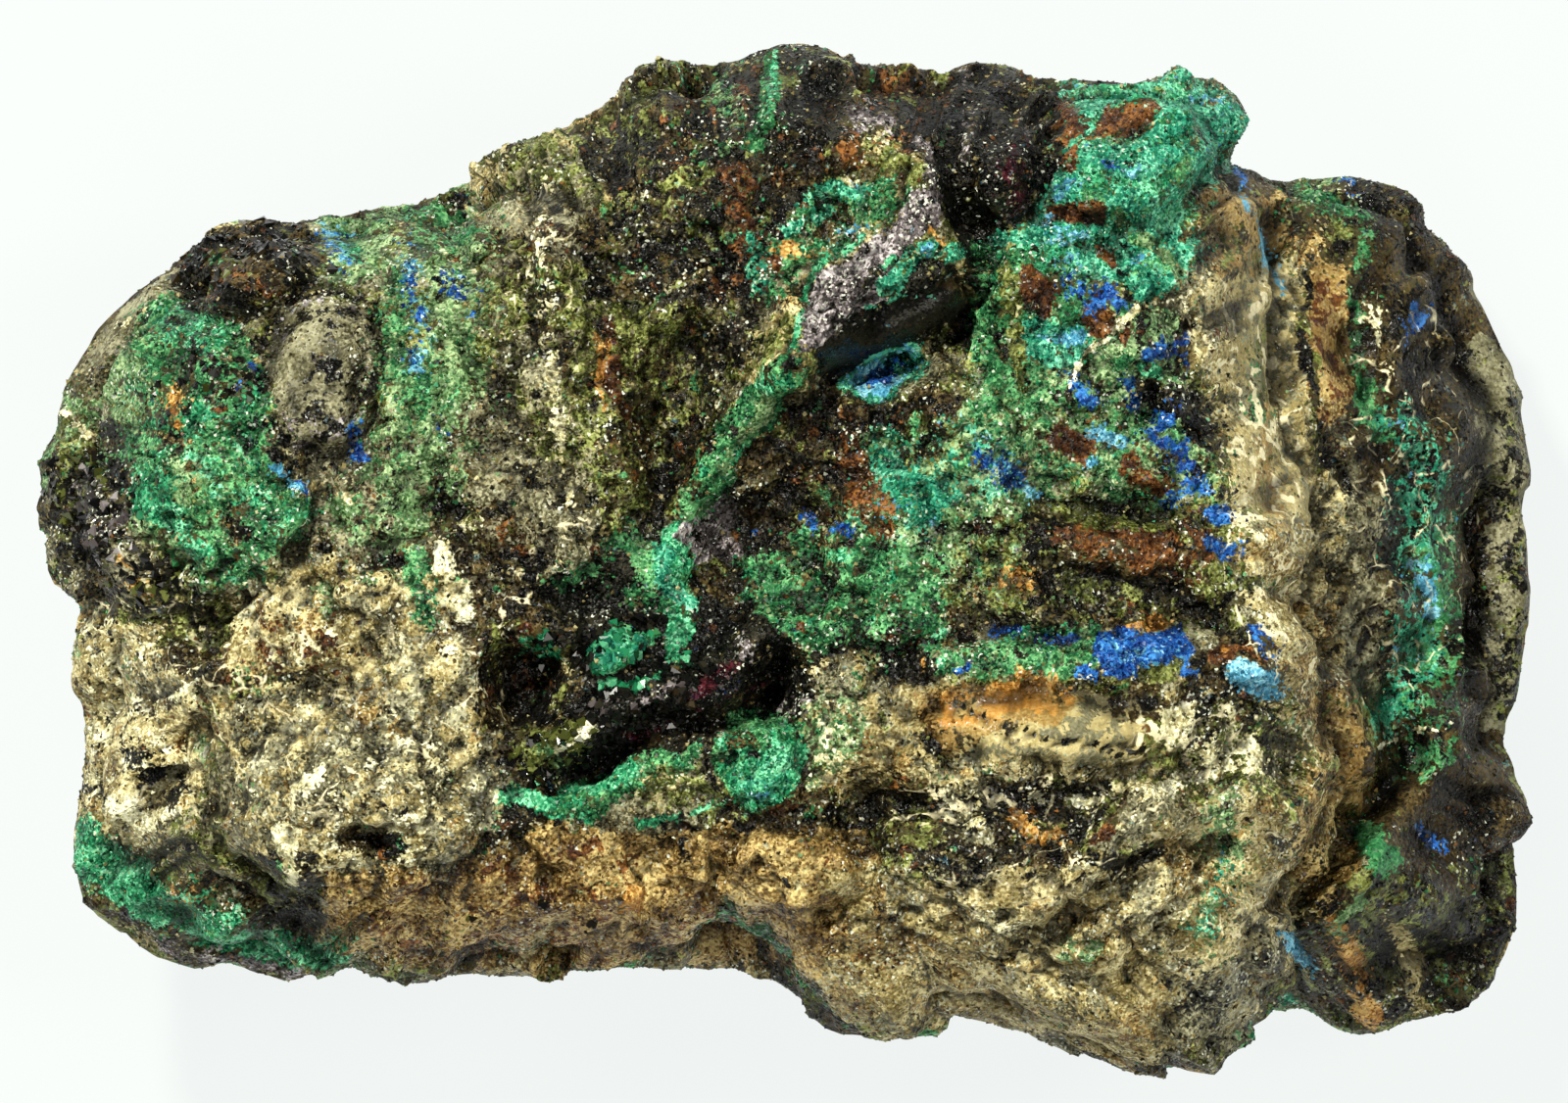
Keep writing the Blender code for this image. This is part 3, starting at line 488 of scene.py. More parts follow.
LEFT_END = (
    Zone("grey", 0.75, 2.0, ((-38.4, 9), (-36.5, 12.5), (-33, 15.5), (-31, 15.5), (-33, 11.5), (-33.8, 7),
        (-35, 6.5), (-37.5, 6))),
    Zone("malachite", 0.85, 1.2, ((-32.5, 13.5), (-29.3, 13.2), (-26.5, 11.5), (-26, 7.5), (-24.8, 4.5),
        (-23.5, 2.5), (-25, 0.5), (-27.3, -1.5), (-29, -1.5), (-31.8, 1.3), (-33.3, 4.5), (-33.6, 8.5),
        (-33.3, 11.5))),
    Zone("brown", 0.65, 0.8, ((-32, 12.6), (-27.5, 11.5), (-26.2, 7.5), (-29, 5), (-32, 6))),
    Zone("black", 0.4, 0.8, ((-31, 12.0), (-27.0, 11.0), (-26.2, 6.5), (-30, 6.0))),
    Zone("sage", 0.7, 0.8, ((-31, 5.0), (-26, 5.0), (-25, 1.5), (-28, 0.0), (-31, 2.0))),
    Stroke("sage", 0.9, 0.5, 0.5, ((-33.0, 3.8), (-31.9, 1.4), (-30.4, -0.2), (-29.2, -1.3))),
    Stroke("emerald", 0.85, 0.6, 0.6, ((-32.4, 3.8), (-31.2, 1.8), (-29.8, 0.2))),
    Stroke("sage", 0.7, 0.8, 1.2, ((-33.0, 9.5), (-33.2, 7.2))),
    Stroke("emerald", 0.6, 0.8, 1.2, ((-31.5, 11.5), (-29.5, 11.0))),
    Stroke("emerald", 0.5, 1.0, 1.5, ((-30.5, 6.5), (-27.5, 5.0))),
    Stroke("emerald", 0.7, 0.7, 0.9, ((-26.8, 3.0), (-25.5, 2.0))),
    Stroke("black", 0.6, 0.6, 0.8, ((-30.2, 8.2), (-28.9, 7.6))),
    Stroke("black", 0.6, 0.6, 0.6, ((-27.3, 1.4), (-26.6, 1.1))),
    Stroke("ochre", 0.6, 0.6, 0.5, ((-30.6, 7.8), (-30.0, 7.0))),
    Zone("grey", 0.6, 0.6, ((-30.6, 10.2), (-27.4, 11.0), (-26.6, 8.8), (-27.6, 7.0), (-30.0, 7.6))),
    Zone("sage", 0.65, 0.8, ((-33.4, 12.0), (-31.6, 12.0), (-31.4, 6.5), (-33.4, 6.0))),
    Stroke("brown", 0.75, 0.5, 0.45, ((-31.8, 6.6), (-30.0, 5.6), (-28.4, 5.4))),
    Stroke("amber", 0.8, 0.3, 0.2, ((-32.0, 7.0), (-30.6, 5.8), (-28.2, 5.6), (-26.8, 5.2))),
    Stroke("amber", 0.9, 0.2, 0.14, ((-30.0, 4.6), (-29.2, 2.4), (-27.6, 1.4), (-27.2, 0.2))),
    Zone("brown", 0.6, 0.6, ((-29.8, 3.4), (-27.4, 3.8), (-26.6, 1.0), (-28.4, -0.4), (-29.6, 1.0))),
    Stroke("azurite", 0.9, 0.3, 0.25, ((-27.6, 8.5),)),
    Stroke("azurite", 0.9, 0.3, 0.25, ((-26.7, 9.6),)),
    Stroke("sky", 0.9, 0.3, 0.3, ((-24.2, 3.6), (-25.6, 4.8))),
    Zone("brown", 1.0, 0.8, ((-30.6, 16.6), (-28, 17.6), (-25, 17.6), (-23.7, 16.2), (-24.2, 14.2),
        (-26.5, 12.8), (-29.3, 12.2), (-30.8, 14))),
    Stroke("black", 0.8, 0.6, 1.0, ((-26.4, 16.2), (-24.8, 14.9))),
    Stroke("rust", 0.5, 0.8, 0.9, ((-29.4, 15.0), (-28.2, 13.4))),
    Stroke("rust", 0.6, 0.5, 0.6, ((-27.0, 13.5), (-25.2, 12.9))),
    Stroke("black", 0.8, 0.4, 0.35, ((-30.6, 13.6), (-29.4, 12.3), (-26.6, 12.5), (-24.2, 13.9))),
    Stroke("black", 0.5, 0.6, 0.8, ((-29.6, 10.4), (-28.0, 8.8))),
    Stroke("black", 0.6, 0.4, 0.5, ((-26.4, 11.2), (-26.4, 7.2), (-25.4, 5.4))),
    Stroke("black", 0.8, 0.8, 0.8, ((-22.5, 17.6), (-19.3, 17.8))),
    Zone("sage", 0.8, 0.6, ((-23.6, 17.6), (-19.5, 17.9), (-20.2, 13.6), (-23.6, 13.8))),
    Stroke("azurite", 0.45, 0.5, 0.6, ((-23.2, 16.2), (-22.4, 14.8))),
    Stroke("sky", 0.45, 0.5, 0.6, ((-23.0, 16.4), (-22.2, 14.8))),
    Stroke("emerald", 0.7, 0.4, 0.5, ((-22.3, 15.7), (-21.6, 14.9))),
    *layers(((-25.5, 13.0), (-23, 13.4), (-20.8, 12.2), (-20.6, 8.5), (-21.3, 6.5), (-22.8, 5.1),
        (-25, 5.5), (-26, 7.5), (-26.2, 11)), ("grey", 1.0, 0.6), ("purple", 0.3, 0.6)),
    Zone("brown", 0.5, 0.6, ((-25, 12.5), (-21, 11.5), (-21, 6.5), (-25.5, 6.5))),
    Zone("grey", 0.9, 0.5, ((-24.8, 12.6), (-21.2, 12.2), (-21, 8.0), (-22.6, 6.0), (-25.2, 7.0))),
    Zone("black", 0.4, 0.6, ((-25, 12.8), (-21, 12.2), (-21, 6.5), (-23, 5.4), (-25.5, 6.5))),
    Stroke("black", 0.7, 0.4, 0.3, ((-26.2, 10.5), (-25.4, 12.8), (-23.2, 13.7), (-20.7, 12.6),
        (-20.5, 9.0), (-21.4, 6.6))),
    Stroke("black", 0.5, 0.5, 0.5, ((-25.8, 7.0), (-24.8, 5.5), (-22.8, 5.1))),
    Stroke("azurite", 0.8, 0.3, 0.3, ((-21.3, 6.3), (-21.3, 5.2))),
    Stroke("azurite", 0.6, 0.3, 0.25, ((-17.2, 7.0), (-17.0, 5.9))),
    Stroke("azurite", 0.6, 0.3, 0.25, ((-24.8, 4.4), (-23.8, 3.2))),
    Zone("black", 0.55, 1.0, ((-38.3, 5), (-35, 6.3), (-33, 4.5), (-32.5, 0.5), (-30, -1.5), (-27, -3.5),
        (-32.5, -3.6), (-36.3, -1.5), (-38, 1.5))),
    Zone("sage", 0.6, 1.0, ((-38.4, 9), (-35, 9), (-34, 4.5), (-37.5, 4.5))),
    Stroke("purple", 0.5, 0.8, 1.2, ((-35.5, 3.5), (-34.5, 0.5))),
    Stroke("ochre", 0.8, 0.3, 0.2, ((-34.5, 1.5), (-33.2, -1.5), (-31.5, -2.6))),
    Stroke("olive", 0.8, 0.5, 1.0, ((-37.0, 6.6), (-35.6, 5.6))),
    Stroke("cream", 0.9, 0.3, 0.2, ((-37.4, 7.1), (-36.2, 7.4), (-35.2, 6.3))),
)
LOWER_LEFT = (
    *layers(((-28, -2), (-24, 0), (-18, 0), (-15.5, -3), (-16, -6.5), (-24, -6), (-28.5, -6)),
        ("tan", 1.0, 1.5), ("grey", 0.4, 1.5), ("cream", 0.3, 1.5)),
    Stroke("rust", 0.4, 1.0, 2.0, ((-27.0, -4.0), (-22.0, -4.6))),
    Stroke("malachite", 0.6, 0.6, 0.8, ((-18.6, 0.4), (-17.8, -3.0))),
    Stroke("cream", 0.8, 0.4, 0.5, ((-17.2, 1.0), (-16.2, -2.5))),
    *layers(((-29, -7), (-24, -5.5), (-15, -6.5), (-13.5, -12), (-16, -15.5), (-23, -15.5), (-28, -15)),
        ("tan", 1.0, 1.5), ("grey", 0.65, 1.5)),
    Zone("cream", 0.3, 1.5, ((-28, -7), (-24, -6), (-15, -7), (-14, -12), (-17, -14.5), (-27, -14))),
    Stroke("cream", 0.9, 0.4, 0.6, ((-25.0, -13.6), (-24.8, -16.0))),
    Stroke("cream", 0.7, 0.3, 0.2, ((-25.3, -8.2), (-22.5, -6.7))),
    Stroke("cream", 0.7, 0.3, 0.2, ((-25.2, -12.2), (-23.0, -10.5))),
    *layers(((-25, -12.5), (-18, -12.5), (-17, -16.5), (-21, -17.5), (-25, -16)), ("tan", 0.7, 1.0),
        ("cream", 0.4, 1.0)),
    Stroke("brown", 0.9, 0.6, 0.9, ((-21.8, -14.0), (-19.8, -14.6))),
    *layers(((-36.4, -2.5), (-32.5, -3.8), (-29.3, -6), (-28.8, -9.5), (-30, -13), (-31, -15.5),
        (-36.4, -14.5), (-36.8, -8.5)), ("tan", 1.0, 0.8), ("grey", 0.4, 0.8), ("cream", 0.45, 0.8)),
    Zone("black", 0.3, 1.0, ((-36.4, -2.5), (-32.5, -3.8), (-29.3, -6), (-28.8, -9.5), (-30, -13),
        (-36.4, -13.5))),
    Zone("rust", 0.45, 1.0, ((-32.2, -6.9), (-29, -6.9), (-29, -9.8), (-32.2, -9.8))),
    Stroke("black", 0.85, 0.6, 0.9, ((-32.4, -9.8), (-30.8, -11.6))),
    Stroke("black", 0.8, 0.4, 0.5, ((-34.6, -12.0),)),
    Stroke("cream", 1.0, 0.4, 0.6, ((-33.4, -13.0), (-31.0, -13.6))),
    Stroke("purple", 0.8, 0.8, 0.9, ((-33.8, -19.6), (-29, -21.2), (-25.5, -21.6))),
    Stroke("ochre", 0.8, 0.5, 0.6, ((-30.7, -17.0), (-29.2, -18.1))),
    Stroke("emerald", 0.9, 0.6, 1.1, ((-35.8, -14.3), (-35.2, -15.3), (-31.5, -17.6), (-29, -19.0),
        (-26.4, -19.9), (-23, -20.5))),
    Zone("amber", 1.0, 1.0, ((-23.3, -15.5), (-17.5, -15.8), (-14, -14.2), (-8, -13.4), (-3, -13.4),
        (4.5, -13), (5.5, -18), (1, -21), (-5, -21), (-15, -21.5), (-20, -21), (-22.5, -19.5))),
    Zone("tan", 0.45, 1.2, ((-18, -14.5), (-8, -14), (5, -13.5), (4, -17.5), (-17, -18))),
    Zone("brown", 0.45, 1.0, ((-22, -17), (-14, -17.5), (-5, -18.5), (0, -19.5), (0, -21.5), (-20, -21.5))),
    Zone("rust", 0.4, 1.0, ((-22, -16.5), (-14, -15), (-5, -16), (0, -17.5), (0, -20), (-20, -20.5))),
    Stroke("tan", 1.0, 0.4, 0.3, ((-12.1, -18.9), (-12.6, -19.6), (-13.6, -20.3), (-15.3, -20.9))),
    Stroke("ochre", 1.0, 0.3, 0.7, ((-7.9, -17.1),)),
)
UPPER_LEFT = (
    Zone("sage", 0.7, 2.0, ((-20.3, 16.5), (-16, 19), (-14.5, 16), (-15, 9), (-16, 3), (-20, -1), (-23, 2),
        (-20.5, 5.5))),
    Zone("grey", 0.4, 2.0, ((-15.5, 19.5), (-12.5, 20), (-11.5, 13), (-11, 6), (-10.5, 0), (-14, -3),
        (-18, -2), (-16, 4), (-14.5, 10))),
    Stroke("malachite", 0.85, 0.8, 1.0, ((-18.6, 17.4), (-16.4, 16.6))),
    Stroke("malachite", 0.5, 1.0, 1.6, ((-19.5, 11.5), (-18.5, 8.0))),
    Stroke("sky", 0.5, 0.5, 0.4, ((-18.8, 15.7), (-18.3, 13.0), (-18.2, 9.8))),
    Stroke("azurite", 0.55, 0.4, 0.35, ((-18.8, 15.2), (-18.3, 12.4), (-18.4, 10.4))),
    Stroke("azurite", 0.45, 0.5, 0.4, ((-16.9, 14.3), (-15.6, 12.6))),
    Stroke("cream", 0.6, 0.4, 0.3, ((-12.3, 19.0), (-11.8, 14), (-11.7, 9), (-11.3, 6), (-10.6, 3))),
    Zone("brown", 0.85, 1.2, ((-10.5, 17.5), (-5, 19), (-2, 17), (-2, 12.5), (-6, 12.5), (-10.3, 12.8))),
    Stroke("black", 0.6, 0.8, 1.0, ((-8.5, 15.5), (-4, 14.5))),
    Zone("black", 0.6, 1.0, ((-8, 23.5), (-6, 25.3), (-4.5, 25.2), (-4.5, 22.5), (-7, 21.5))),
    Zone("olive", 0.6, 1.2, ((-7.5, 13.2), (-2.8, 13.5), (-1.5, 10.8), (-2.2, 8.5), (-4.2, 6), (-5.2, 2.5),
        (-7, -0.5), (-9, 0.5), (-9.8, 4.5), (-9, 9.5))),
    Zone("brown", 0.65, 1.0, ((-7.5, 13.2), (-2.8, 13.5), (-1.5, 10.8), (-2.2, 8.5), (-4.2, 6), (-5.2, 2.5),
        (-7, -0.5), (-9, 0.5), (-9.4, 4.5), (-8, 9.5))),
    Stroke("black", 0.55, 1.2, 1.2, ((-2.6, 12.0), (-3.4, 9.0), (-5.5, 4.0), (-6.8, 0.5))),
    Stroke("olive", 0.6, 0.8, 1.2, ((-8.0, 12.0), (-5.6, 11.4))),
    Stroke("rust", 0.7, 0.4, 0.35, ((-8.9, 11.8), (-8.5, 8.5), (-7.6, 6.0))),
    Stroke("ochre", 0.6, 0.4, 0.25, ((-9.4, 11), (-9.0, 7.5))),
)
UPPER_MIDDLE = (
    Zone("brown", 1.0, 1.0, ((-11, 21.5), (-8, 24.5), (-5, 25.6), (0, 26.8), (4, 26.3), (3, 20), (0, 16),
        (-5, 18), (-9, 18))),
    Zone("olive", 0.6, 1.0, ((-10, 21), (-4, 25), (0, 24), (-1, 18), (-6, 18))),
    Zone("brown", 1.0, 1.0, ((-5.5, 24.7), (-1, 26.4), (3, 26.4), (8, 25.5), (12.5, 24.7), (13, 18.5),
        (10, 16.5), (7.5, 20.5), (5, 21.5), (1, 20.5), (-0.5, 17), (-2, 12), (-5, 15.5), (-6.5, 21))),
    Zone("black", 0.6, 1.0, ((-4.5, 25), (0, 26.8), (8, 25.5), (10, 22), (7.5, 19), (3, 20.5), (-2, 17),
        (-4, 20))),
    Zone("malachite", 0.35, 1.0, ((-5, 25.5), (1, 26.5), (0.5, 22), (-1.5, 13), (-5, 15), (-5.5, 21))),
    Zone("black", 0.55, 1.0, ((-10.5, 21.5), (-4, 22), (3.5, 21), (4.2, 19), (-0.5, 16.5), (-2, 14.5),
        (-5, 13.5), (-10, 14.5))),
    Stroke("rust", 0.55, 1.0, 1.2, ((-2.5, 18.5), (-1.0, 14.0))),
    Stroke("rust", 0.5, 1.0, 1.2, ((4.5, 24.3), (9, 23))),
    Stroke("rust", 0.7, 0.6, 0.6, ((-1.4, 25.0), (-2.0, 23.6))),
    Stroke("rust", 0.6, 0.8, 1.3, ((3.4, 20.2), (5.6, 19.6))),
    Zone("malachite", 0.5, 0.8, ((-4.6, 24.4), (-1.2, 23.8), (-0.6, 20.4), (-3.2, 20.0))),
    Stroke("rust", 0.6, 0.6, 0.6, ((-2.3, 21.3),)),
    Stroke("malachite", 0.85, 0.5, 0.7, ((-0.5, 26.0), (-0.6, 23.5), (-1.5, 21.0))),
    Stroke("emerald", 0.8, 0.4, 0.4, ((-0.2, 26.0), (-0.3, 23.8))),
    Stroke("sage", 0.7, 0.6, 0.7, ((-3.2, 23.0), (-2.6, 21.2))),
    Stroke("purple", 0.8, 0.5, 0.5, ((3.6, 22.6), (5.5, 21.8), (7.2, 20.4), (7.8, 18.6), (7.3, 16.8))),
    Zone("malachite", 0.7, 0.7, ((0.6, 18.2), (2.3, 19.1), (4.2, 18.8), (6.4, 19.0), (6.6, 17.4),
        (5.2, 16.9), (3.4, 15.9), (1.6, 14.9), (-0.4, 12.6), (-2.2, 13.4), (-2.2, 16.6), (-0.4, 16.4))),
    Stroke("olive", 0.8, 0.8, 0.9, ((4.6, 19.9), (6.3, 19.3))),
    Stroke("ochre", 0.5, 0.7, 0.5, ((-0.4, 15.6), (1.4, 15.4))),
    Stroke("turquoise", 0.85, 0.4, 0.35, ((0.8, 17.9), (2.2, 18.8), (4.0, 18.4))),
    Stroke("turquoise", 0.85, 0.4, 0.35, ((0.2, 16.6), (2.4, 17.4), (4.0, 16.4))),
    Stroke("turquoise", 0.8, 0.6, 0.7, ((-1.9, 15.8), (-1.3, 14.0))),
    Stroke("sky", 0.8, 0.3, 0.25, ((1.9, 16.3), (4.3, 17.0))),
    Stroke("brown", 0.9, 0.5, 0.6, ((2.0, 16.3), (3.2, 17.3))),
    Zone("purple", 1.0, 0.4, ((0.3, 9.6), (1.0, 12.0), (2.0, 14.1), (3.7, 15.8), (5.5, 17.1), (7.2, 18.4),
        (7.9, 17.2), (6.6, 15.5), (5.5, 13.9), (4.3, 12.5), (2.2, 10.1))),
    Stroke("emerald", 0.9, 0.35, 0.25, ((0.3, 10.2), (1.2, 13.2), (2.4, 15.1), (3.6, 16.0))),
    Zone("brown", 1.0, 0.4, ((4.6, 13.5), (8.8, 15.2), (9.6, 13.0), (7.4, 13.9), (5.5, 13.2))),
    Stroke("turquoise", 0.95, 0.3, 0.4, ((4.7, 13.8), (6.5, 14.7), (8.4, 15.6), (9.9, 15.9))),
    Stroke("emerald", 0.9, 0.3, 0.2, ((4.9, 14.6), (6.6, 15.4))),
    Zone("black", 1.0, 0.2, ((1.5, 9.9), (3.6, 12.0), (5.5, 13.2), (7.2, 13.8), (9.0, 13.9), (9.4, 12.7),
        (8.6, 12.0), (6.5, 10.9), (4.1, 9.5), (2.4, 8.7))),
    Stroke("turquoise", 0.9, 0.2, 0.12, ((4.2, 12.5), (5.8, 13.4), (7.6, 13.3), (8.8, 12.6))),
    Zone("turquoise", 1.0, 0.3, ((2.7, 8.9), (5.1, 10.2), (6.7, 10.9), (7.7, 10.2), (7.2, 9.0), (5.9, 8.1),
        (4.5, 7.6), (3.4, 7.9))),
    Zone("sky", 0.6, 0.4, ((2.9, 8.9), (5.1, 10.1), (6.6, 10.8), (7.4, 10.2), (5.9, 8.3), (3.6, 8.0))),
    Stroke("azurite", 0.8, 0.3, 0.35, ((4.4, 9.0), (5.8, 9.6))),
    Zone("black", 0.85, 0.6, ((8, 20.5), (8.8, 24.8), (12.3, 25), (13.2, 22), (13.1, 18.8), (11.5, 16.5),
        (9.8, 17))),
    Zone("purple", 0.45, 0.8, ((10.0, 21.5), (13, 21.5), (13.0, 17.2), (10.8, 16.8))),
    Stroke("wine", 0.8, 0.8, 0.8, ((11.6, 19.6), (11.2, 18.0))),
    Stroke("purple", 0.7, 0.5, 0.4, ((9.4, 24.5), (9.2, 20.0))),
    Stroke("ochre", 0.9, 0.3, 0.22, ((7.6, 16.2), (7.9, 16.0))),
    Stroke("black", 1.0, 0.4, 0.55, ((7.9, 20.0), (8.6, 17.6), (9.8, 16.1), (9.9, 14.3))),
    Zone("brown", 1.0, 0.8, ((1.5, 8.6), (4.2, 7.3), (7.8, 8.8), (9.4, 7.8), (8.6, 5.5), (4, 4), (1, 5),
        (0.3, 7))),
    Stroke("black", 0.6, 0.6, 0.7, ((3.5, 6.3), (7.5, 7.2))),
)
UPPER_RIGHT = (
    Zone("turquoise", 1.0, 0.7, ((13.4, 24.7), (22.6, 24.7), (23.8, 22), (22.5, 19), (20.8, 16), (20, 13.9),
        (17.4, 12.9), (13, 15.3), (10.2, 16), (13.5, 18.5), (13.7, 22.5))),
    Zone("malachite", 0.7, 1.2, ((13.5, 24), (21, 24.5), (21.5, 17.5), (19.8, 13.5), (16.5, 12.8),
        (13, 15.3))),
    Zone("olive", 0.4, 1.0, ((19.5, 24.6), (22.6, 24.7), (23.8, 22), (22.5, 19), (20.5, 19.5))),
    Zone("malachite", 0.8, 0.8, ((9.5, 16), (14, 15), (17.4, 12.5), (15.5, 9.5), (13, 7.5), (9.8, 7.5),
        (9.4, 11))),
    Zone("sage", 0.75, 1.0, ((9.5, 9), (13, 10), (15.5, 10), (20, 9), (21.5, 5), (22, 2.5), (15, 2.8),
        (11, 3), (8, 5), (8.5, 7.5))),
    Zone("malachite", 0.5, 1.0, ((9.5, 9), (13, 10), (20, 9), (21.5, 5), (22, 2.5), (11, 3), (8, 5))),
    Zone("brown", 0.45, 0.8, ((14.5, 10), (20, 9), (21.5, 5), (22, 2.5), (15, 3.5), (12, 6))),
    Stroke("black", 0.9, 0.4, 0.4, ((13.4, 24.3), (13.8, 22.6), (13.6, 20.2), (13.0, 18.6))),
    Stroke("rust", 0.9, 0.4, 0.4, ((14.2, 23.4), (14.6, 21.4), (14.4, 19.8))),
    Stroke("rust", 1.0, 0.3, 0.85, ((16.5, 21.9), (18.3, 22.2))),
    Stroke("brown", 0.9, 0.3, 0.5, ((17.0, 21.4), (18.0, 21.2))),
    Stroke("rust", 1.0, 0.3, 0.5, ((13.9, 17.3), (15.6, 17.6))),
    Stroke("rust", 1.0, 0.3, 0.45, ((15.8, 15.2), (16.6, 14.8))),
    Stroke("rust", 1.0, 0.4, 0.8, ((12.2, 13.8), (12.8, 13.0))),
    Stroke("rust", 1.0, 0.3, 0.6, ((15.3, 12.4), (15.9, 11.8))),
    Stroke("brown", 0.9, 0.4, 0.45, ((10.0, 13.6),)),
    Stroke("brown", 0.9, 0.3, 0.35, ((10.6, 10.6), (10.8, 10.0))),
    Stroke("brown", 0.8, 0.4, 0.5, ((20.2, 21.6), (21.4, 21.0))),
    Stroke("emerald", 0.9, 0.5, 0.6, ((15.0, 23.9), (18.0, 23.9), (20.0, 23.4))),
    Stroke("emerald", 0.85, 0.4, 0.4, ((15.0, 20.8), (15.6, 18.9), (18.0, 18.8), (20.4, 18.4))),
    Stroke("emerald", 0.85, 0.4, 0.4, ((12.0, 15.4), (15.0, 15.9), (17.4, 17.0), (19.2, 17.9))),
    Stroke("sky", 0.6, 0.5, 0.4, ((14.2, 16.4), (15.0, 16.2))),
    Stroke("sky", 0.6, 0.5, 0.3, ((19.4, 19.6), (19.0, 20.6))),
    Stroke("sky", 0.6, 0.5, 0.3, ((17.4, 19.4),)),
    Stroke("azurite", 0.7, 0.3, 0.3, ((16.2, 20.0), (16.8, 19.7))),
    Stroke("sage", 0.9, 0.4, 0.45, ((16.8, 17.6), (18.8, 15.2), (19.9, 14.4))),
    Stroke("azurite", 0.7, 0.6, 0.6, ((14.2, 13.6), (15.6, 12.9))),
    Stroke("azurite", 0.8, 0.5, 0.45, ((16.2, 13.3), (16.6, 12.6))),
    Stroke("azurite", 0.9, 0.3, 0.3, ((14.4, 11.4),)),
    Stroke("black", 0.7, 0.3, 0.3, ((17.0, 14.0), (17.2, 12.9))),
    Stroke("turquoise", 1.0, 0.5, 1.2, ((12.6, 11.0), (14.2, 10.4))),
    Stroke("sky", 0.6, 0.5, 0.5, ((13.2, 10.9), (14.6, 10.8))),
    Stroke("olive", 0.95, 0.4, 0.45, ((11.4, 14.4), (11.3, 11.5), (11.6, 9.0))),
    Zone("sage", 0.8, 0.5, ((15.3, 9.6), (16.2, 11.2), (18.2, 12.4), (19.7, 12.4), (20.2, 10.5), (20, 8.5),
        (17.5, 7.5), (15.8, 8.0))),
    Zone("black", 0.5, 0.5, ((17.2, 12.2), (19.6, 12.4), (20.3, 10.5), (20.4, 8.0), (18.0, 7.6),
        (17.2, 9.5))),
    Stroke("emerald", 1.0, 0.25, 0.55, ((17.9, 9.9), (18.3, 9.5))),
    Stroke("black", 1.0, 0.2, 0.2, ((18.1, 9.7),)),
    Stroke("cream", 0.95, 0.25, 0.14, ((14.5, 8.3), (15.3, 9.9), (16.3, 11.4), (17.6, 12.5), (19.4, 13.3))),
    Stroke("azurite", 0.8, 0.4, 0.35, ((14.8, 8.8), (15.7, 8.0))),
    Stroke("azurite", 0.8, 0.4, 0.3, ((18.3, 10.5), (20.2, 10.8), (20.4, 9.8))),
    Stroke("azurite", 0.75, 0.5, 0.4, ((17.0, 8.9), (17.4, 7.8))),
    Stroke("azurite", 0.8, 0.6, 0.6, ((19.4, 7.4), (18.4, 6.2), (19.8, 5.2))),
    Stroke("black", 0.9, 0.4, 0.8, ((18.2, 8.1), (20.4, 7.6), (21.0, 6.2))),
    Stroke("azurite", 0.7, 0.6, 0.7, ((20.0, 5.4), (20.6, 3.6), (19.4, 3.2))),
    Stroke("azurite", 1.0, 0.3, 0.4, ((21.4, 2.3), (21.8, 2.1))),
    Stroke("azurite", 0.85, 0.5, 0.8, ((10.3, 5.2), (11.4, 3.8))),
    Stroke("sky", 0.6, 0.6, 0.6, ((10.2, 6.0), (12.4, 3.2))),
    Stroke("sky", 0.8, 0.4, 0.6, ((15.8, 6.4), (17.0, 5.8))),
    Stroke("sky", 0.8, 0.4, 0.4, ((15.3, 4.4),)),
    Stroke("rust", 0.9, 0.5, 0.8, ((13.6, 6.3), (15.0, 5.2))),
    Stroke("rust", 0.7, 0.5, 0.7, ((17.4, 4.8), (18.6, 3.8))),
)
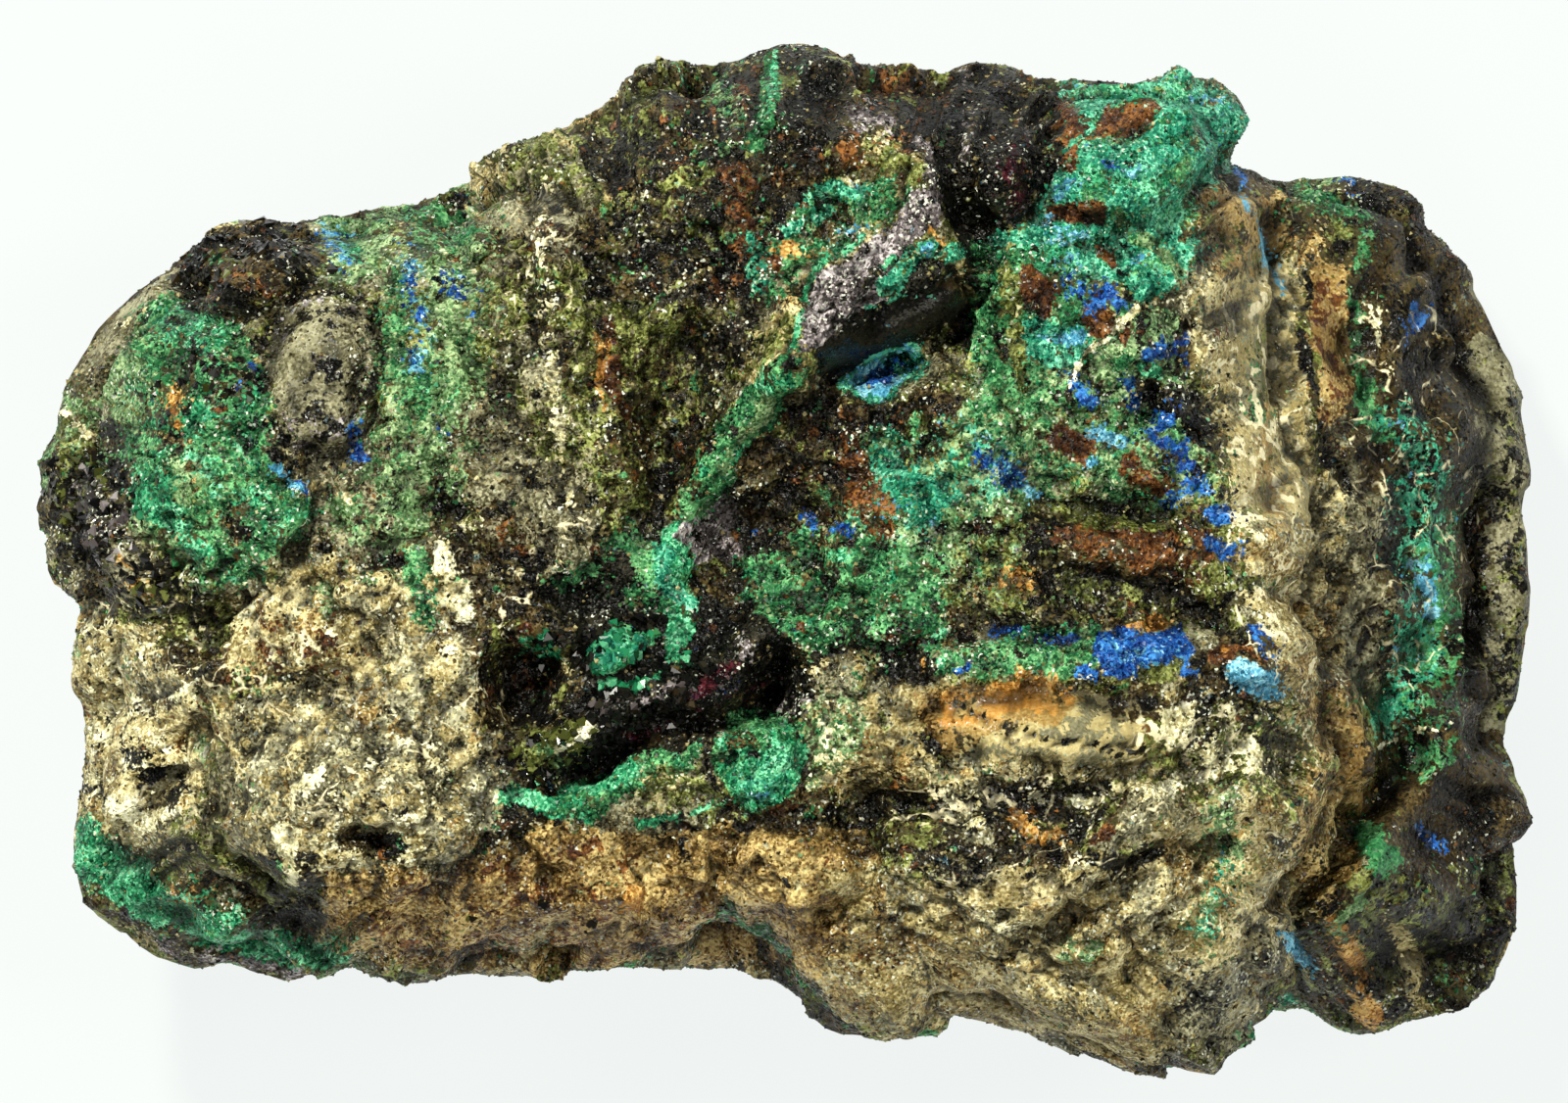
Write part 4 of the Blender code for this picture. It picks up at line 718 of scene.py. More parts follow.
MIDDLE_GREENS = (
    Zone("brown", 0.8, 1.5, ((-3, 9), (2, 7), (5, 3), (10, -1), (10, -4.5), (5, -5.5), (-4, -4.5),
        (-5, 1))),
    Zone("sage", 0.75, 1.2, ((3.5, 6), (8, 7.3), (12, 6), (12.5, 2), (9, -1), (4, -1.5), (3, 1.5))),
    Zone("turquoise", 0.5, 1.2, ((3.5, 6), (8, 7.3), (12, 6), (12, 3), (6, 1), (3, 1.5))),
    Zone("malachite", 0.75, 1.2, ((-2, 0.5), (4, 2), (8, 0), (8, -4), (5, -5), (1, -4.5), (-1.8, -2))),
    Stroke("turquoise", 0.9, 0.6, 1.1, ((5.4, 4.2), (7.4, 3.0))),
    Stroke("rust", 0.8, 0.6, 1.2, ((3.6, 4.5), (5.0, 2.4))),
    Stroke("azurite", 0.8, 0.3, 0.3, ((-1.2, 1.6),)),
    Stroke("azurite", 0.8, 0.3, 0.3, ((0.8, 2.1), (1.3, 1.4))),
    Stroke("azurite", 0.8, 0.3, 0.3, ((2.5, 1.6), (3.0, 1.2))),
    Stroke("malachite", 0.95, 0.6, 1.0, ((0.2, 9.2), (-1.3, 7.6), (-3.2, 5.3), (-4.2, 2.6))),
    Stroke("sage", 0.9, 0.6, 0.6, ((-0.6, 8.0), (-1.8, 6.8), (-3.4, 4.6))),
    Stroke("purple", 0.9, 0.5, 0.9, ((-3.2, 2.4), (-3.8, 0.8))),
    *layers(((-2.8, 0.6), (4.4, 0.6), (4.4, -4.6), (1, -4.8), (-2.2, -3.0)), ("malachite", 0.75, 0.8),
        ("brown", 0.5, 0.8)),
    Zone("brown", 1.0, 0.6, ((-15.9, -2.4), (-12.6, -1.6), (-10.3, -4.2), (-10.6, -7.4), (-12.6, -8.4),
        (-15.6, -7.8))),
    Zone("black", 1.0, 0.8, ((-12.6, -1.6), (-8.5, 0.5), (-5.0, -1.0), (-1.9, -3.0), (1.3, -4.4),
        (1.3, -7.6), (-4, -9.2), (-9, -11.4), (-13.5, -10.6), (-10.8, -7.0), (-10.5, -4.4))),
    Zone("malachite", 0.72, 0.8, ((-12.5, -1.5), (-8.5, 1.5), (-5.0, 1.0), (-6.0, -2.6), (-9.4, -3.6))),
    Stroke("emerald", 0.95, 0.5, 0.85, ((-5.0, 1.0), (-5.6, -0.8), (-5.0, -2.6), (-5.0, -4.6))),
    Stroke("turquoise", 0.85, 0.4, 0.4, ((-5.6, 0.4), (-5.9, -1.2), (-4.4, -2.2))),
    Stroke("purple", 0.9, 0.4, 0.6, ((-4.4, 1.1), (-2.6, 0.6))),
    Stroke("purple", 0.7, 0.5, 0.7, ((-3.4, -3.0), (-2.2, -4.4))),
    Stroke("brown", 0.7, 0.5, 0.6, ((-3.9, -3.0), (-2.6, -4.8))),
    Stroke("purple", 0.85, 0.4, 0.45, ((-9.4, -7.4), (-6.6, -6.8), (-5.0, -6.0))),
    Stroke("purple", 0.8, 0.4, 0.4, ((-0.8, -7.4), (1.0, -7.0))),
    Stroke("wine", 0.9, 0.4, 0.3, ((-4.4, -6.6), (-3.3, -5.8), (-2.3, -5.2))),
    Stroke("wine", 0.6, 0.4, 0.3, ((-8.0, -8.8), (-5.2, -7.8), (-0.4, -6.2))),
    Zone("emerald", 1.0, 0.25, ((-9.9, -4.4), (-8.9, -3.8), (-6.6, -3.2), (-6.4, -3.7), (-7.2, -4.8),
        (-9.1, -5.6), (-9.7, -5.4))),
    Zone("turquoise", 0.6, 0.3, ((-9.7, -4.4), (-8.9, -3.9), (-7.0, -3.4), (-7.6, -4.6), (-9.3, -5.2))),
    Stroke("emerald", 0.95, 0.3, 0.25, ((-9.4, -6.1), (-7.6, -6.4), (-6.2, -6.0))),
    Stroke("emerald", 0.95, 0.3, 0.45, ((-12.7, -4.5), (-11.3, -5.0))),
    Zone("olive", 0.85, 0.5, ((-13.2, -8.2), (-11.3, -8.2), (-9.0, -8.8), (-10.4, -10.4), (-13.2, -11.4))),
    Stroke("sage", 0.85, 0.4, 0.5, ((-12.6, -9.6), (-11.6, -10.4))),
    Stroke("cream", 0.85, 0.35, 0.3, ((-11.6, -9.6), (-9.4, -8.8))),
    Zone("malachite", 0.85, 0.5, ((-10.8, -11.2), (-7.2, -9.9), (-4.2, -9.0), (-4.4, -10.4), (-7.6, -11.8),
        (-10.0, -13.2), (-12.4, -12.8))),
    Stroke("emerald", 0.9, 0.4, 0.5, ((-14.2, -12.2), (-12.2, -12.6), (-10.4, -11.8), (-7.6, -10.6))),
    Stroke("emerald", 0.9, 0.4, 0.45, ((-12.2, -12.7), (-11.2, -12.9))),
    Zone("olive", 0.7, 0.5, ((-7.4, -10.6), (-4.0, -9.8), (-3.6, -12.2), (-7.0, -12.6))),
    Zone("tan", 0.6, 0.5, ((-7.4, -11.4), (-4.0, -10.2), (-3.6, -12.2), (-7.0, -12.6))),
    Zone("malachite", 1.0, 0.4, ((-2.8, -7.7), (-0.9, -7.4), (1.3, -7.9), (1.0, -10.1), (0.2, -12.0),
        (-1.9, -13.0), (-3.1, -12.2), (-3.4, -10.4))),
    Zone("emerald", 1.0, 0.3, ((-3.0, -10.6), (-1.0, -9.6), (0.9, -8.4), (1.1, -10.1), (0.3, -11.9),
        (-1.8, -12.9), (-3.0, -12.0))),
    Zone("turquoise", 0.5, 0.4, ((-2.6, -11.0), (0.6, -9.6), (0.1, -11.6), (-1.8, -12.5))),
    Stroke("emerald", 0.9, 0.2, 0.16, ((-7.4, -13.1), (-5.2, -12.8), (-3.1, -12.6))),
    Stroke("black", 0.7, 0.4, 0.3, ((-3.7, -9.0), (-3.6, -12.0))),
)
MIDDLE_RIGHT = (
    Zone("olive", 0.75, 1.0, ((8.8, 1.5), (14, 1.8), (14, -2.6), (10, -3.4), (8.0, -1.5))),
    Zone("sage", 0.5, 1.0, ((8.8, 1.5), (14, 1.8), (14, -1.6), (9.0, -1.5))),
    Zone("brown", 0.75, 1.0, ((12.6, 2.6), (22, 2), (22.6, -3), (15, -3.8), (9, -3.6), (9.5, -1),
        (12.5, -0.6))),
    Stroke("rust", 0.7, 1.0, 1.4, ((15, 0.6), (21, 0.2))),
    Stroke("olive", 0.8, 0.6, 0.8, ((13.6, 2.8), (18.8, 1.9))),
    Stroke("black", 0.6, 0.5, 0.4, ((12.5, 3.3), (16, 2.7), (19, 2.1))),
    Stroke("olive", 0.7, 0.8, 0.9, ((14.0, -1.8), (16.8, -2.2))),
    Stroke("ochre", 0.7, 0.6, 0.6, ((11.5, -1.0), (12.4, -1.3))),
    Stroke("azurite", 0.9, 0.3, 0.4, ((21.7, 0.6), (22.5, -0.3))),
    Stroke("azurite", 0.9, 0.3, 0.3, ((23.0, 0.7),)),
    Zone("malachite", 0.75, 0.5, ((6.6, -4.3), (9.5, -4.6), (12.8, -3.4), (15.8, -3.3), (15.8, -6.2),
        (12.4, -6.1), (7.0, -6.0))),
    Zone("sage", 0.5, 0.5, ((6.6, -4.3), (9.5, -4.6), (12.8, -3.4), (15.8, -3.3), (15.8, -6.2),
        (7.0, -6.0))),
    Zone("azurite", 1.0, 0.3, ((15.6, -3.9), (17.4, -3.5), (20.2, -3.5), (21.0, -5.1), (20.2, -5.6),
        (18.6, -5.3), (17.6, -5.9), (16.0, -5.9), (15.2, -5.1))),
    Zone("sky", 0.3, 0.5, ((15.8, -4.4), (20.4, -4.0), (20.0, -5.2), (16.2, -5.6))),
    Stroke("azurite", 0.9, 0.25, 0.25, ((12.7, -4.2), (14.4, -4.2))),
    Stroke("azurite", 0.9, 0.25, 0.25, ((10.7, -3.8), (11.6, -3.8))),
    Stroke("azurite", 0.9, 0.25, 0.25, ((8.5, -5.8), (9.2, -5.4))),
    Stroke("azurite", 0.9, 0.25, 0.22, ((14.7, -6.0), (15.6, -6.2))),
    Stroke("azurite", 0.9, 0.25, 0.2, ((19.9, -5.8), (20.8, -5.8))),
    Stroke("azurite", 0.7, 0.3, 0.25, ((23.7, -3.4), (24.3, -4.6))),
    Stroke("sky", 1.0, 0.35, 0.75, ((23.2, -5.7), (24.1, -6.0))),
    Stroke("olive", 0.9, 0.4, 0.5, ((18.3, -5.6), (19.8, -5.5))),
    Zone("ochre", 1.0, 0.2, ((17.4, -3.4), (18.3, -2.5), (19.4, -3.3), (18.6, -3.5))),
    Stroke("rust", 1.0, 0.3, 0.5, ((21.8, -5.0), (22.5, -4.6))),
    Stroke("ochre", 0.8, 0.3, 0.2, ((22.4, -4.5),)),
    Stroke("ochre", 0.9, 0.3, 0.22, ((6.7, -5.7),)),
    Stroke("black", 0.8, 0.3, 0.6, ((5.2, -5.2), (6.8, -5.6))),
    Zone("tan", 0.9, 1.0, ((0.8, -7.0), (5, -6), (6, -11), (4.5, -13), (1.2, -11.5))),
    *layers(((0.8, -7.0), (4, -6), (4.5, -10), (1.2, -11.5)), ("sage", 0.7, 1.0), ("cream", 0.4, 1.0)),
    Zone("tan", 1.0, 0.8, ((5.4, -6.6), (10, -6.2), (15.8, -6.6), (18.4, -6.9), (18.2, -9.6), (16.8, -11.2),
        (8, -11.2), (5, -10.8))),
    Zone("grey", 0.55, 0.8, ((6.0, -8.8), (9.4, -9.6), (12, -9.2), (17.2, -9.7), (16.8, -11.2),
        (6, -11.0))),
    Zone("amber", 0.9, 0.7, ((6.4, -7.0), (10.6, -6.2), (13.2, -6.2), (14.9, -7.4), (13.8, -8.6),
        (11.4, -8.5), (9.6, -9.5), (7.0, -9.3))),
    Zone("ochre", 0.75, 0.6, ((8.0, -7.0), (10.6, -6.5), (12.0, -5.4), (13.0, -5.6), (14.6, -7.3),
        (13.6, -8.2), (11.2, -7.9), (9.4, -8.9), (8.2, -8.8))),
    Zone("grey", 0.7, 0.8, ((13.8, -7.6), (15.2, -7.0), (17.2, -7.8), (18.1, -8.9), (17.4, -9.7),
        (12.8, -9.5), (12.2, -8.8))),
    Zone("brown", 0.6, 0.6, ((6.4, -8.8), (10.4, -8.2), (12.4, -8.4), (10.6, -9.6), (7.4, -10.0))),
    Zone("brown", 0.6, 0.5, ((16.2, -6.9), (18.6, -6.7), (18.6, -8.4), (17.4, -8.2))),
    Stroke("black", 1.0, 0.08, 0.06, ((8.4, -7.3), (11.0, -8.7), (12.0, -8.9), (14.2, -9.3), (17.0, -9.5),
        (17.8, -9.3), (18.0, -8.8))),
    Zone("cream", 0.75, 0.4, ((18.6, -7.0), (20.6, -7.1), (21.6, -8.6), (22.5, -9.8), (19.0, -9.4))),
    Stroke("cream", 0.6, 0.5, 0.6, ((17.0, -11.6), (20.0, -11.1), (23.0, -9.8), (24.6, -10.8))),
    Zone("black", 0.7, 0.8, ((5.6, -11.6), (9.5, -12.0), (13.0, -11.2), (16.8, -10.8), (16.4, -13.6),
        (12, -14.0), (6.0, -14.2))),
    Zone("purple", 0.4, 0.6, ((7.0, -12.2), (15.8, -11.4), (15.6, -13.0), (8.0, -13.6))),
    Zone("cream", 0.55, 0.4, ((6.8, -11.8), (10.2, -11.6), (10.4, -13.4), (8.2, -13.4))),
    Stroke("cream", 0.75, 0.3, 0.25, ((12.4, -12.2), (15.8, -11.9))),
    Stroke("black", 0.9, 0.5, 0.8, ((3.8, -12.8), (4.4, -12.8))),
    Zone("brown", 0.75, 1.0, ((6.0, -14.0), (13.0, -14.0), (15.2, -15.2), (12.6, -16.2), (6.4, -15.8))),
    Stroke("ochre", 0.8, 0.5, 0.35, ((11.6, -13.2), (12.8, -14.2), (14.0, -14.0))),
    Stroke("rust", 0.9, 0.4, 0.4, ((15.4, -13.8), (16.4, -13.2))),
)
LOWER_RIGHT = (
    *layers(((1.5, -15), (10, -16), (17, -15), (22, -11), (25, -12), (27, -18), (24, -24), (18, -26),
        (8, -24.5), (1, -24), (2, -20)), ("tan", 1.0, 1.5), ("grey", 0.45, 1.5)),
    Zone("amber", 0.4, 1.5, ((1.5, -15), (6, -15), (10, -18), (14, -22), (20, -24.5), (24, -24),
        (18, -26.5), (8, -24.5), (1, -24))),
    Zone("cream", 0.2, 1.5, ((8, -16), (22, -12), (25, -17), (20, -23), (10, -22))),
    Stroke("black", 0.8, 0.5, 0.5, ((15.5, -15.2), (18.8, -15.0))),
    Stroke("sage", 0.6, 1.0, 1.2, ((21.6, -13.4), (22.6, -16.0), (21.4, -18.6))),
    Stroke("turquoise", 0.5, 0.6, 0.5, ((21.8, -15.6), (20.8, -18.6))),
    *layers(((25.5, -6.5), (28.5, -5.0), (30.2, -10), (29.8, -16), (27, -19.5), (25.5, -15), (26, -10)),
        ("amber", 0.8, 1.2), ("brown", 0.5, 1.2)),
    Stroke("black", 0.8, 0.5, 0.5, ((29.2, -13.7),)),
    *layers(((19, -22), (26, -18.5), (26.8, -21), (24, -24.5), (20, -26.5), (18, -25.5)),
        ("grey", 0.8, 1.0), ("black", 0.4, 1.0)),
    Stroke("malachite", 0.8, 0.5, 0.7, ((23.5, -24.5), (25.2, -23.0))),
    Stroke("turquoise", 0.9, 0.2, 0.3, ((25.8, -22.4), (26.3, -22.8))),
)
RIGHT_SLOPE = (
    Zone("tan", 1.0, 0.5, ((19.9, 14), (24.5, 14.8), (26.5, 12), (26.8, 5), (29, -6), (26, -7), (24, -3),
        (23.3, 2), (22.3, 5), (21.6, 8), (20.6, 11.3))),
    Zone("grey", 0.6, 1.0, ((20.6, 14), (24.5, 14.8), (26.5, 12), (26.8, 3), (29.5, -7), (26, -7.5),
        (24.5, 2.5), (22.4, 7))),
    Zone("amber", 0.5, 1.0, ((23, 8), (26.5, 10), (27, 3), (29, -6), (25.5, -6), (24, 0))),
    Zone("olive", 0.35, 1.0, ((22.5, 13), (26, 13), (26.7, 3), (24.8, 2.5), (23.5, 7))),
    Zone("rust", 0.4, 1.2, ((21.0, 14.5), (23.5, 14.5), (23.2, 11), (21.8, 10.5))),
    Stroke("cream", 0.75, 0.3, 0.16, ((19.9, 13.6), (20.9, 11.0), (21.9, 7.8), (22.6, 5.0), (23.6, 1.5),
        (24.6, -2.0), (25.6, -5.5))),
    Stroke("cream", 0.5, 0.3, 0.15, ((23.2, 12.6), (23.6, 9.0), (25.2, 6.0), (25.6, 2.0))),
    Zone("brown", 0.7, 0.6, ((20.6, 19.2), (22.5, 19.8), (26.2, 19.6), (26.4, 14.8), (23.5, 14.2),
        (20.6, 15.0))),
    Zone("amber", 0.7, 0.8, ((21.0, 18.8), (26.0, 18.8), (26.2, 14.8), (23.5, 14.4), (21.0, 15.2))),
    Stroke("olive", 0.5, 0.5, 0.6, ((21.2, 17.4), (23.4, 15.4))),
    *layers(((24.0, 15.4), (26.2, 15.0), (26.4, 9.0), (27.2, 5.5), (28.6, 3.6), (28.6, -2.0), (25.6, -2.0),
        (24.6, 6.0)), ("tan", 0.9, 0.5), ("grey", 0.5, 0.8)),
    Stroke("malachite", 0.6, 0.5, 0.5, ((23.6, 9.5), (24.2, 7.0))),
    Stroke("sky", 0.8, 0.25, 0.14, ((23.1, 20.0), (24.0, 17.0), (25.1, 13.5))),
    Stroke("azurite", 0.8, 0.3, 0.3, ((23.1, 19.9), (23.6, 19.2))),
    *layers(((26.4, 15.9), (27.4, 15.9), (28.6, 13.4), (28.8, 8.4), (28.2, 6.6), (26.8, 7.0)),
        ("amber", 1.0, 0.4), ("rust", 0.55, 0.6)),
    Stroke("black", 1.0, 0.15, 0.14, ((26.5, 14.8), (26.5, 12.6), (26.4, 9.8), (26.9, 7.6), (27.7, 5.6),
        (28.8, 3.6))),
)
BACK_MASS = (
    *layers(((26.4, 20), (33, 19.5), (38.5, 10), (38.7, -10), (38, -23), (26, -24), (29, -16), (30, -8),
        (27, 0)), ("brown", 1.0, 1.5), ("grey", 0.5, 1.5)),
    Zone("brown", 0.85, 1.5, ((26.4, 20), (33, 19.5), (36, 10), (36, -5), (30, -8), (27, 0))),
    Zone("rust", 0.95, 0.5, ((26.5, 15.3), (28.3, 15.0), (28.4, 9.0), (27.0, 7.0))),
    Stroke("black", 0.9, 0.2, 0.16, ((26.5, 14.8), (26.5, 12.6), (26.4, 9.8), (26.9, 7.6), (27.7, 5.6))),
    Zone("grey", 0.8, 1.0, ((26.5, 9), (28.4, 9), (31, 0), (33, -9), (30, -9), (28, -4))),
    Zone("olive", 0.6, 1.0, ((26.3, 19.4), (29.8, 19), (29.6, 13.2), (28, 13.5))),
    Stroke("malachite", 0.8, 0.8, 0.8, ((26.6, 18.6), (29.0, 18.4), (29.8, 15.5))),
    Zone("black", 0.6, 1.0, ((28.8, 19.6), (33.2, 19.4), (33.2, 15.5), (28.8, 15.3))),
    Zone("brown", 0.8, 1.0, ((30, 14.5), (34, 15), (36.5, 9), (35.5, 5), (33.5, 8.5), (31, 8.7))),
    Zone("black", 0.6, 1.5, ((30, 16), (34.5, 14), (37, 6), (36.5, -8), (31, -12), (29.5, -4), (30.5, 6))),
    Stroke("malachite", 0.7, 0.8, 0.9, ((28.7, 12.5), (29.2, 8.5), (30.5, 6.5))),
    Stroke("azurite", 0.8, 0.3, 0.3, ((31.0, 12.5), (32.2, 12.3))),
    Stroke("cream", 0.6, 0.3, 0.15, ((29.0, 12.6), (30.4, 12.2), (31.0, 9.5), (32.2, 7.8))),
    Stroke("turquoise", 0.7, 1.2, 1.4, ((31.5, 7.0), (33.5, 4.5))),
    Stroke("turquoise", 0.68, 1.4, 1.5, ((32.0, 3.3), (32.4, -1.0), (32.0, -6.0), (31.0, -8.5))),
    Stroke("malachite", 0.6, 1.2, 1.6, ((33.5, 2.0), (33.5, -5.0), (32.5, -10.0))),
    Stroke("sky", 0.7, 0.5, 0.4, ((31.4, 7.1),)),
    Stroke("sky", 0.7, 0.8, 0.7, ((32.5, -0.6), (33.0, -2.8))),
    *layers(((35.5, 12.5), (38.5, 9), (38.7, -9), (35.5, -9), (36, 0)), ("grey", 1.0, 1.2),
        ("black", 0.5, 1.5), ("olive", 0.4, 1.5)),
    Zone("olive", 0.7, 1.0, ((29, -16), (38, -15), (38, -22), (28, -24.6))),
    Zone("black", 0.6, 1.0, ((30, -16), (38, -14), (38, -22), (29, -24.6))),
    Stroke("ochre", 0.7, 0.6, 0.6, ((28.0, -18.3), (30.0, -23.8))),
    Stroke("tan", 0.9, 0.8, 0.7, ((31.0, -18.5), (32.5, -22.8))),
    Stroke("malachite", 0.8, 0.6, 0.8, ((29.6, -13.6), (30.8, -15.4))),
    Stroke("sage", 0.9, 0.4, 0.4, ((29.5, -17.2), (27.1, -19.9))),
    Stroke("sky", 0.9, 0.3, 0.45, ((25.9, -19.6), (27.0, -20.6))),
    Stroke("azurite", 0.8, 0.3, 0.3, ((32.6, -14.1), (33.3, -14.6))),
    Stroke("cream", 0.8, 0.3, 0.2, ((30.4, -9.9), (33.9, -8.4))),
)
# Where a network of thin pale fibres runs over the stone
NETWORKS = (
    Zone("fibres", 0.4, 2.0, ((-32.5, 2), (-28, -2), (-20, -1), (-16, 2), (-14, -6), (-16, -13), (-28, -14),
        (-36.5, -12), (-36.5, -2))),
    Stroke("fibres", 0.7, 1.5, 1.2, ((-12.3, 19.0), (-11.8, 9.0), (-10.6, 3.0), (-14.0, -3.0))),
    Zone("fibres", 1.0, 1.5, ((20.2, 13.5), (24.5, 14.8), (26.3, 12), (26.5, 3), (28, -6), (26, -7),
        (23, -3), (21.8, 7))),
    Zone("fibres", 0.4, 2.0, ((8, -16), (22, -10), (28, -6), (27, -20), (12, -22))),
    Zone("fibres", 1.0, 1.0, ((17.5, -7.1), (23.5, -7.3), (23.5, -11), (17, -11))),
    Zone("fibres", 0.9, 1.0, ((5.5, -11.0), (16.5, -11.0), (16.5, -13.2), (5.5, -13.2))),
    Zone("fibres", 0.35, 1.5, ((28.5, 13.5), (33, 13), (36, 4), (35, -8), (29, -8), (28.5, 4))),
)
PLACED = (LEFT_END + LOWER_LEFT + UPPER_LEFT + UPPER_MIDDLE + UPPER_RIGHT + MIDDLE_GREENS + MIDDLE_RIGHT
          + LOWER_RIGHT + BACK_MASS + RIGHT_SLOPE)


def scramble(cells, salt):
    """Repeatable random numbers from 0 to 1 for whole-number cells: multiply, fold and mask."""
    parts = cells.astype(np.int64).astype(np.uint32)
    mixed = parts[..., 0] * np.uint32(73856093) ^ parts[..., 1] * np.uint32(19349663)
    mixed = mixed ^ parts[..., 2] * np.uint32(83492791) ^ np.uint32(salt * 7919 + 1)
    mixed = (mixed ^ mixed >> np.uint32(15)) * np.uint32(2246822519)
    mixed = (mixed ^ mixed >> np.uint32(13)) * np.uint32(3266489917)
    mixed = mixed ^ mixed >> np.uint32(16)
    return mixed.astype(float) / 0xFFFFFFFF


def smooth_noise(points, size, salt):
    """Noise from -1 to 1: random values at the corners of cubes, blended smoothly across each cube."""
    at = points / size
    low = np.floor(at)
    share = at - low
    share = share * share * (3 - 2 * share)
    total = np.zeros(len(points))
    for corner in itertools.product((0, 1), repeat=3):
        weight = np.prod(np.where(corner, share, 1 - share), axis=-1)
        total += weight * scramble(low + corner, salt)
    return 2 * total - 1


def layered_noise(points, size, salt, layers=4):
    """Noise over noise: each layer turned, half as large and half as strong as the one before."""
    total = np.zeros(len(points))
    for n in range(layers):
        points = points @ NOISE_TURN
        total += smooth_noise(points, size / 2**n, salt + 17 * n) / 2**n
    return total / (2 - 0.5 ** (layers - 1))


def chipped(points, size, salt, sharpness=16.0):
    """Broken facets: every cube holds one tilted plane, and the nearest planes win by distance."""
    at = points / size
    low = np.floor(at)
    total = np.zeros(len(points))
    weights = np.zeros(len(points))
    for step in itertools.product((-1, 0, 1), repeat=3):
        cell = low + step
        away = at - cell - np.stack([scramble(cell, salt + n) for n in (1, 2, 3)], axis=-1)
        tilt = np.stack([scramble(cell, salt + n) for n in (4, 5, 6)], axis=-1) * 2 - 1
        plane = (tilt * away).sum(axis=-1) + scramble(cell, salt + 7) - 0.5
        weight = np.exp(-sharpness * (away * away).sum(axis=-1))
        total += weight * plane
        weights += weight
    return total / weights


def distance_to_line(x, y, line):
    """Distance from each point to a line of straight stretches, or to a single point, seen from above."""
    nearest = np.full(len(x), np.inf)
    for (ax, ay), (bx, by) in zip(line, line[1:] or line):
        run_x, run_y = bx - ax, by - ay
        share = ((x - ax) * run_x + (y - ay) * run_y) / max(run_x**2 + run_y**2, TINY)
        share = np.clip(share, 0, 1)
        nearest = np.minimum(nearest, np.hypot(x - ax - share * run_x, y - ay - share * run_y))
    return nearest


def relief(x, y, swells, folds):
    """Sum of the swells and folds at each point of a face, in millimetres."""
    height = np.zeros(len(x))
    for swell in swells:
        turn = np.radians(swell.turn)
        dx, dy = x - swell.x, y - swell.y
        along = (dx * np.cos(turn) + dy * np.sin(turn)) / swell.along
        across = (dy * np.cos(turn) - dx * np.sin(turn)) / swell.across
        inside = np.clip((1 - np.hypot(along, across)) / swell.slope, 0, 1)
        height += swell.rise * inside * inside * (3 - 2 * inside)
    for fold in folds:
        height += fold.rise * np.exp(-(distance_to_line(x, y, fold.line) / fold.half_width) ** 2)
    return height


def wander(x, y, reach, size, salt):
    """Moves a pattern a little, each way by its own noise."""
    flat = np.stack([x, y, np.zeros(len(x))], axis=-1)
    return x + reach * smooth_noise(flat, size, salt), y + reach * smooth_noise(flat, size, salt + 1)


def front_level(x, y):
    """Height of the crusted face: a gentle tilt, its relief, and the fall past the right brow."""
    brow_y, brow_x = np.array(BROW_LINE).T
    past = x - np.interp(y, brow_y, brow_x)
    fall = BROW_STEP * np.clip(past / BROW_EDGE, 0, 1) + BROW_FALL * np.clip(past, 0, BROW_REACH)
    coarse = relief(*wander(x, y, *FACE_BEND), FRONT_SWELLS, FRONT_FOLDS)
    fine = relief(*wander(x, y, *FINE_BEND), FINE_SWELLS, FINE_FOLDS)
    return FACE_HEIGHT + FACE_TILT * x + coarse + fine - fall


def back_level(x, y):
    """Height of the back mass: a slope down to +X, with its own lumps and folds."""
    lumps = relief(*wander(x, y, *BACK_BEND), BACK_SWELLS, BACK_FOLDS)
    return BACK_HEIGHT - BACK_FALL * (x - BACK_START) + lumps


def outline_radius(bearing, outline, centre):
    """How far the outline is from the centre along each bearing, between its points in turn."""
    corners = np.array(outline) - centre
    angles = np.arctan2(corners[:, 1], corners[:, 0])
    order = np.argsort(angles)
    return np.interp(bearing, angles[order], np.hypot(*corners.T)[order], period=2 * np.pi)


def open_box(cells, crowding):
    """Top and walls of a box from -1 to 1 as one grid, closed below by a fan round one point.

    The top is a grid of columns and rows. Its edge, taken once round anticlockwise, is repeated
    down the wall, so both share their points. Crowding over 1 draws the columns towards +X.
    """
    across, deep, down = cells
    along = 1 - 2 * (1 - np.linspace(0, 1, across + 1)) ** crowding
    a, b = np.meshgrid(along, np.linspace(-1, 1, deep + 1), indexing="ij")
    number = np.arange(a.size).reshape(a.shape)
    top = np.stack([a.ravel(), b.ravel(), np.ones(a.size)], axis=-1)
    edge = np.concatenate([number[:-1, 0], number[-1, :-1], number[:0:-1, -1], number[0, :0:-1]])
    rows = [edge]
    points = [top]
    for c in np.linspace(1, -1, down + 1)[1:]:
        row = top[edge].copy()
        row[:, 2] = c
        rows.append(len(top) + len(edge) * (len(rows) - 1) + np.arange(len(edge)))
        points.append(row)
    points.append(np.array([[0.0, 0.0, -1.0]]))
    cells_above = np.stack([number[:-1, :-1], number[1:, :-1], number[1:, 1:], number[:-1, 1:]], axis=-1)
    quads = [cells_above.reshape(-1, 4)]
    for upper, lower in zip(rows, rows[1:]):
        quads.append(np.stack([upper, lower, np.roll(lower, -1), np.roll(upper, -1)], axis=-1))
    last = rows[-1]
    middle = len(top) + len(edge) * down
    fan = np.stack([last, np.full(len(last), middle), np.roll(last, -1)], axis=-1)
    return np.concatenate(points), np.concatenate(quads), fan


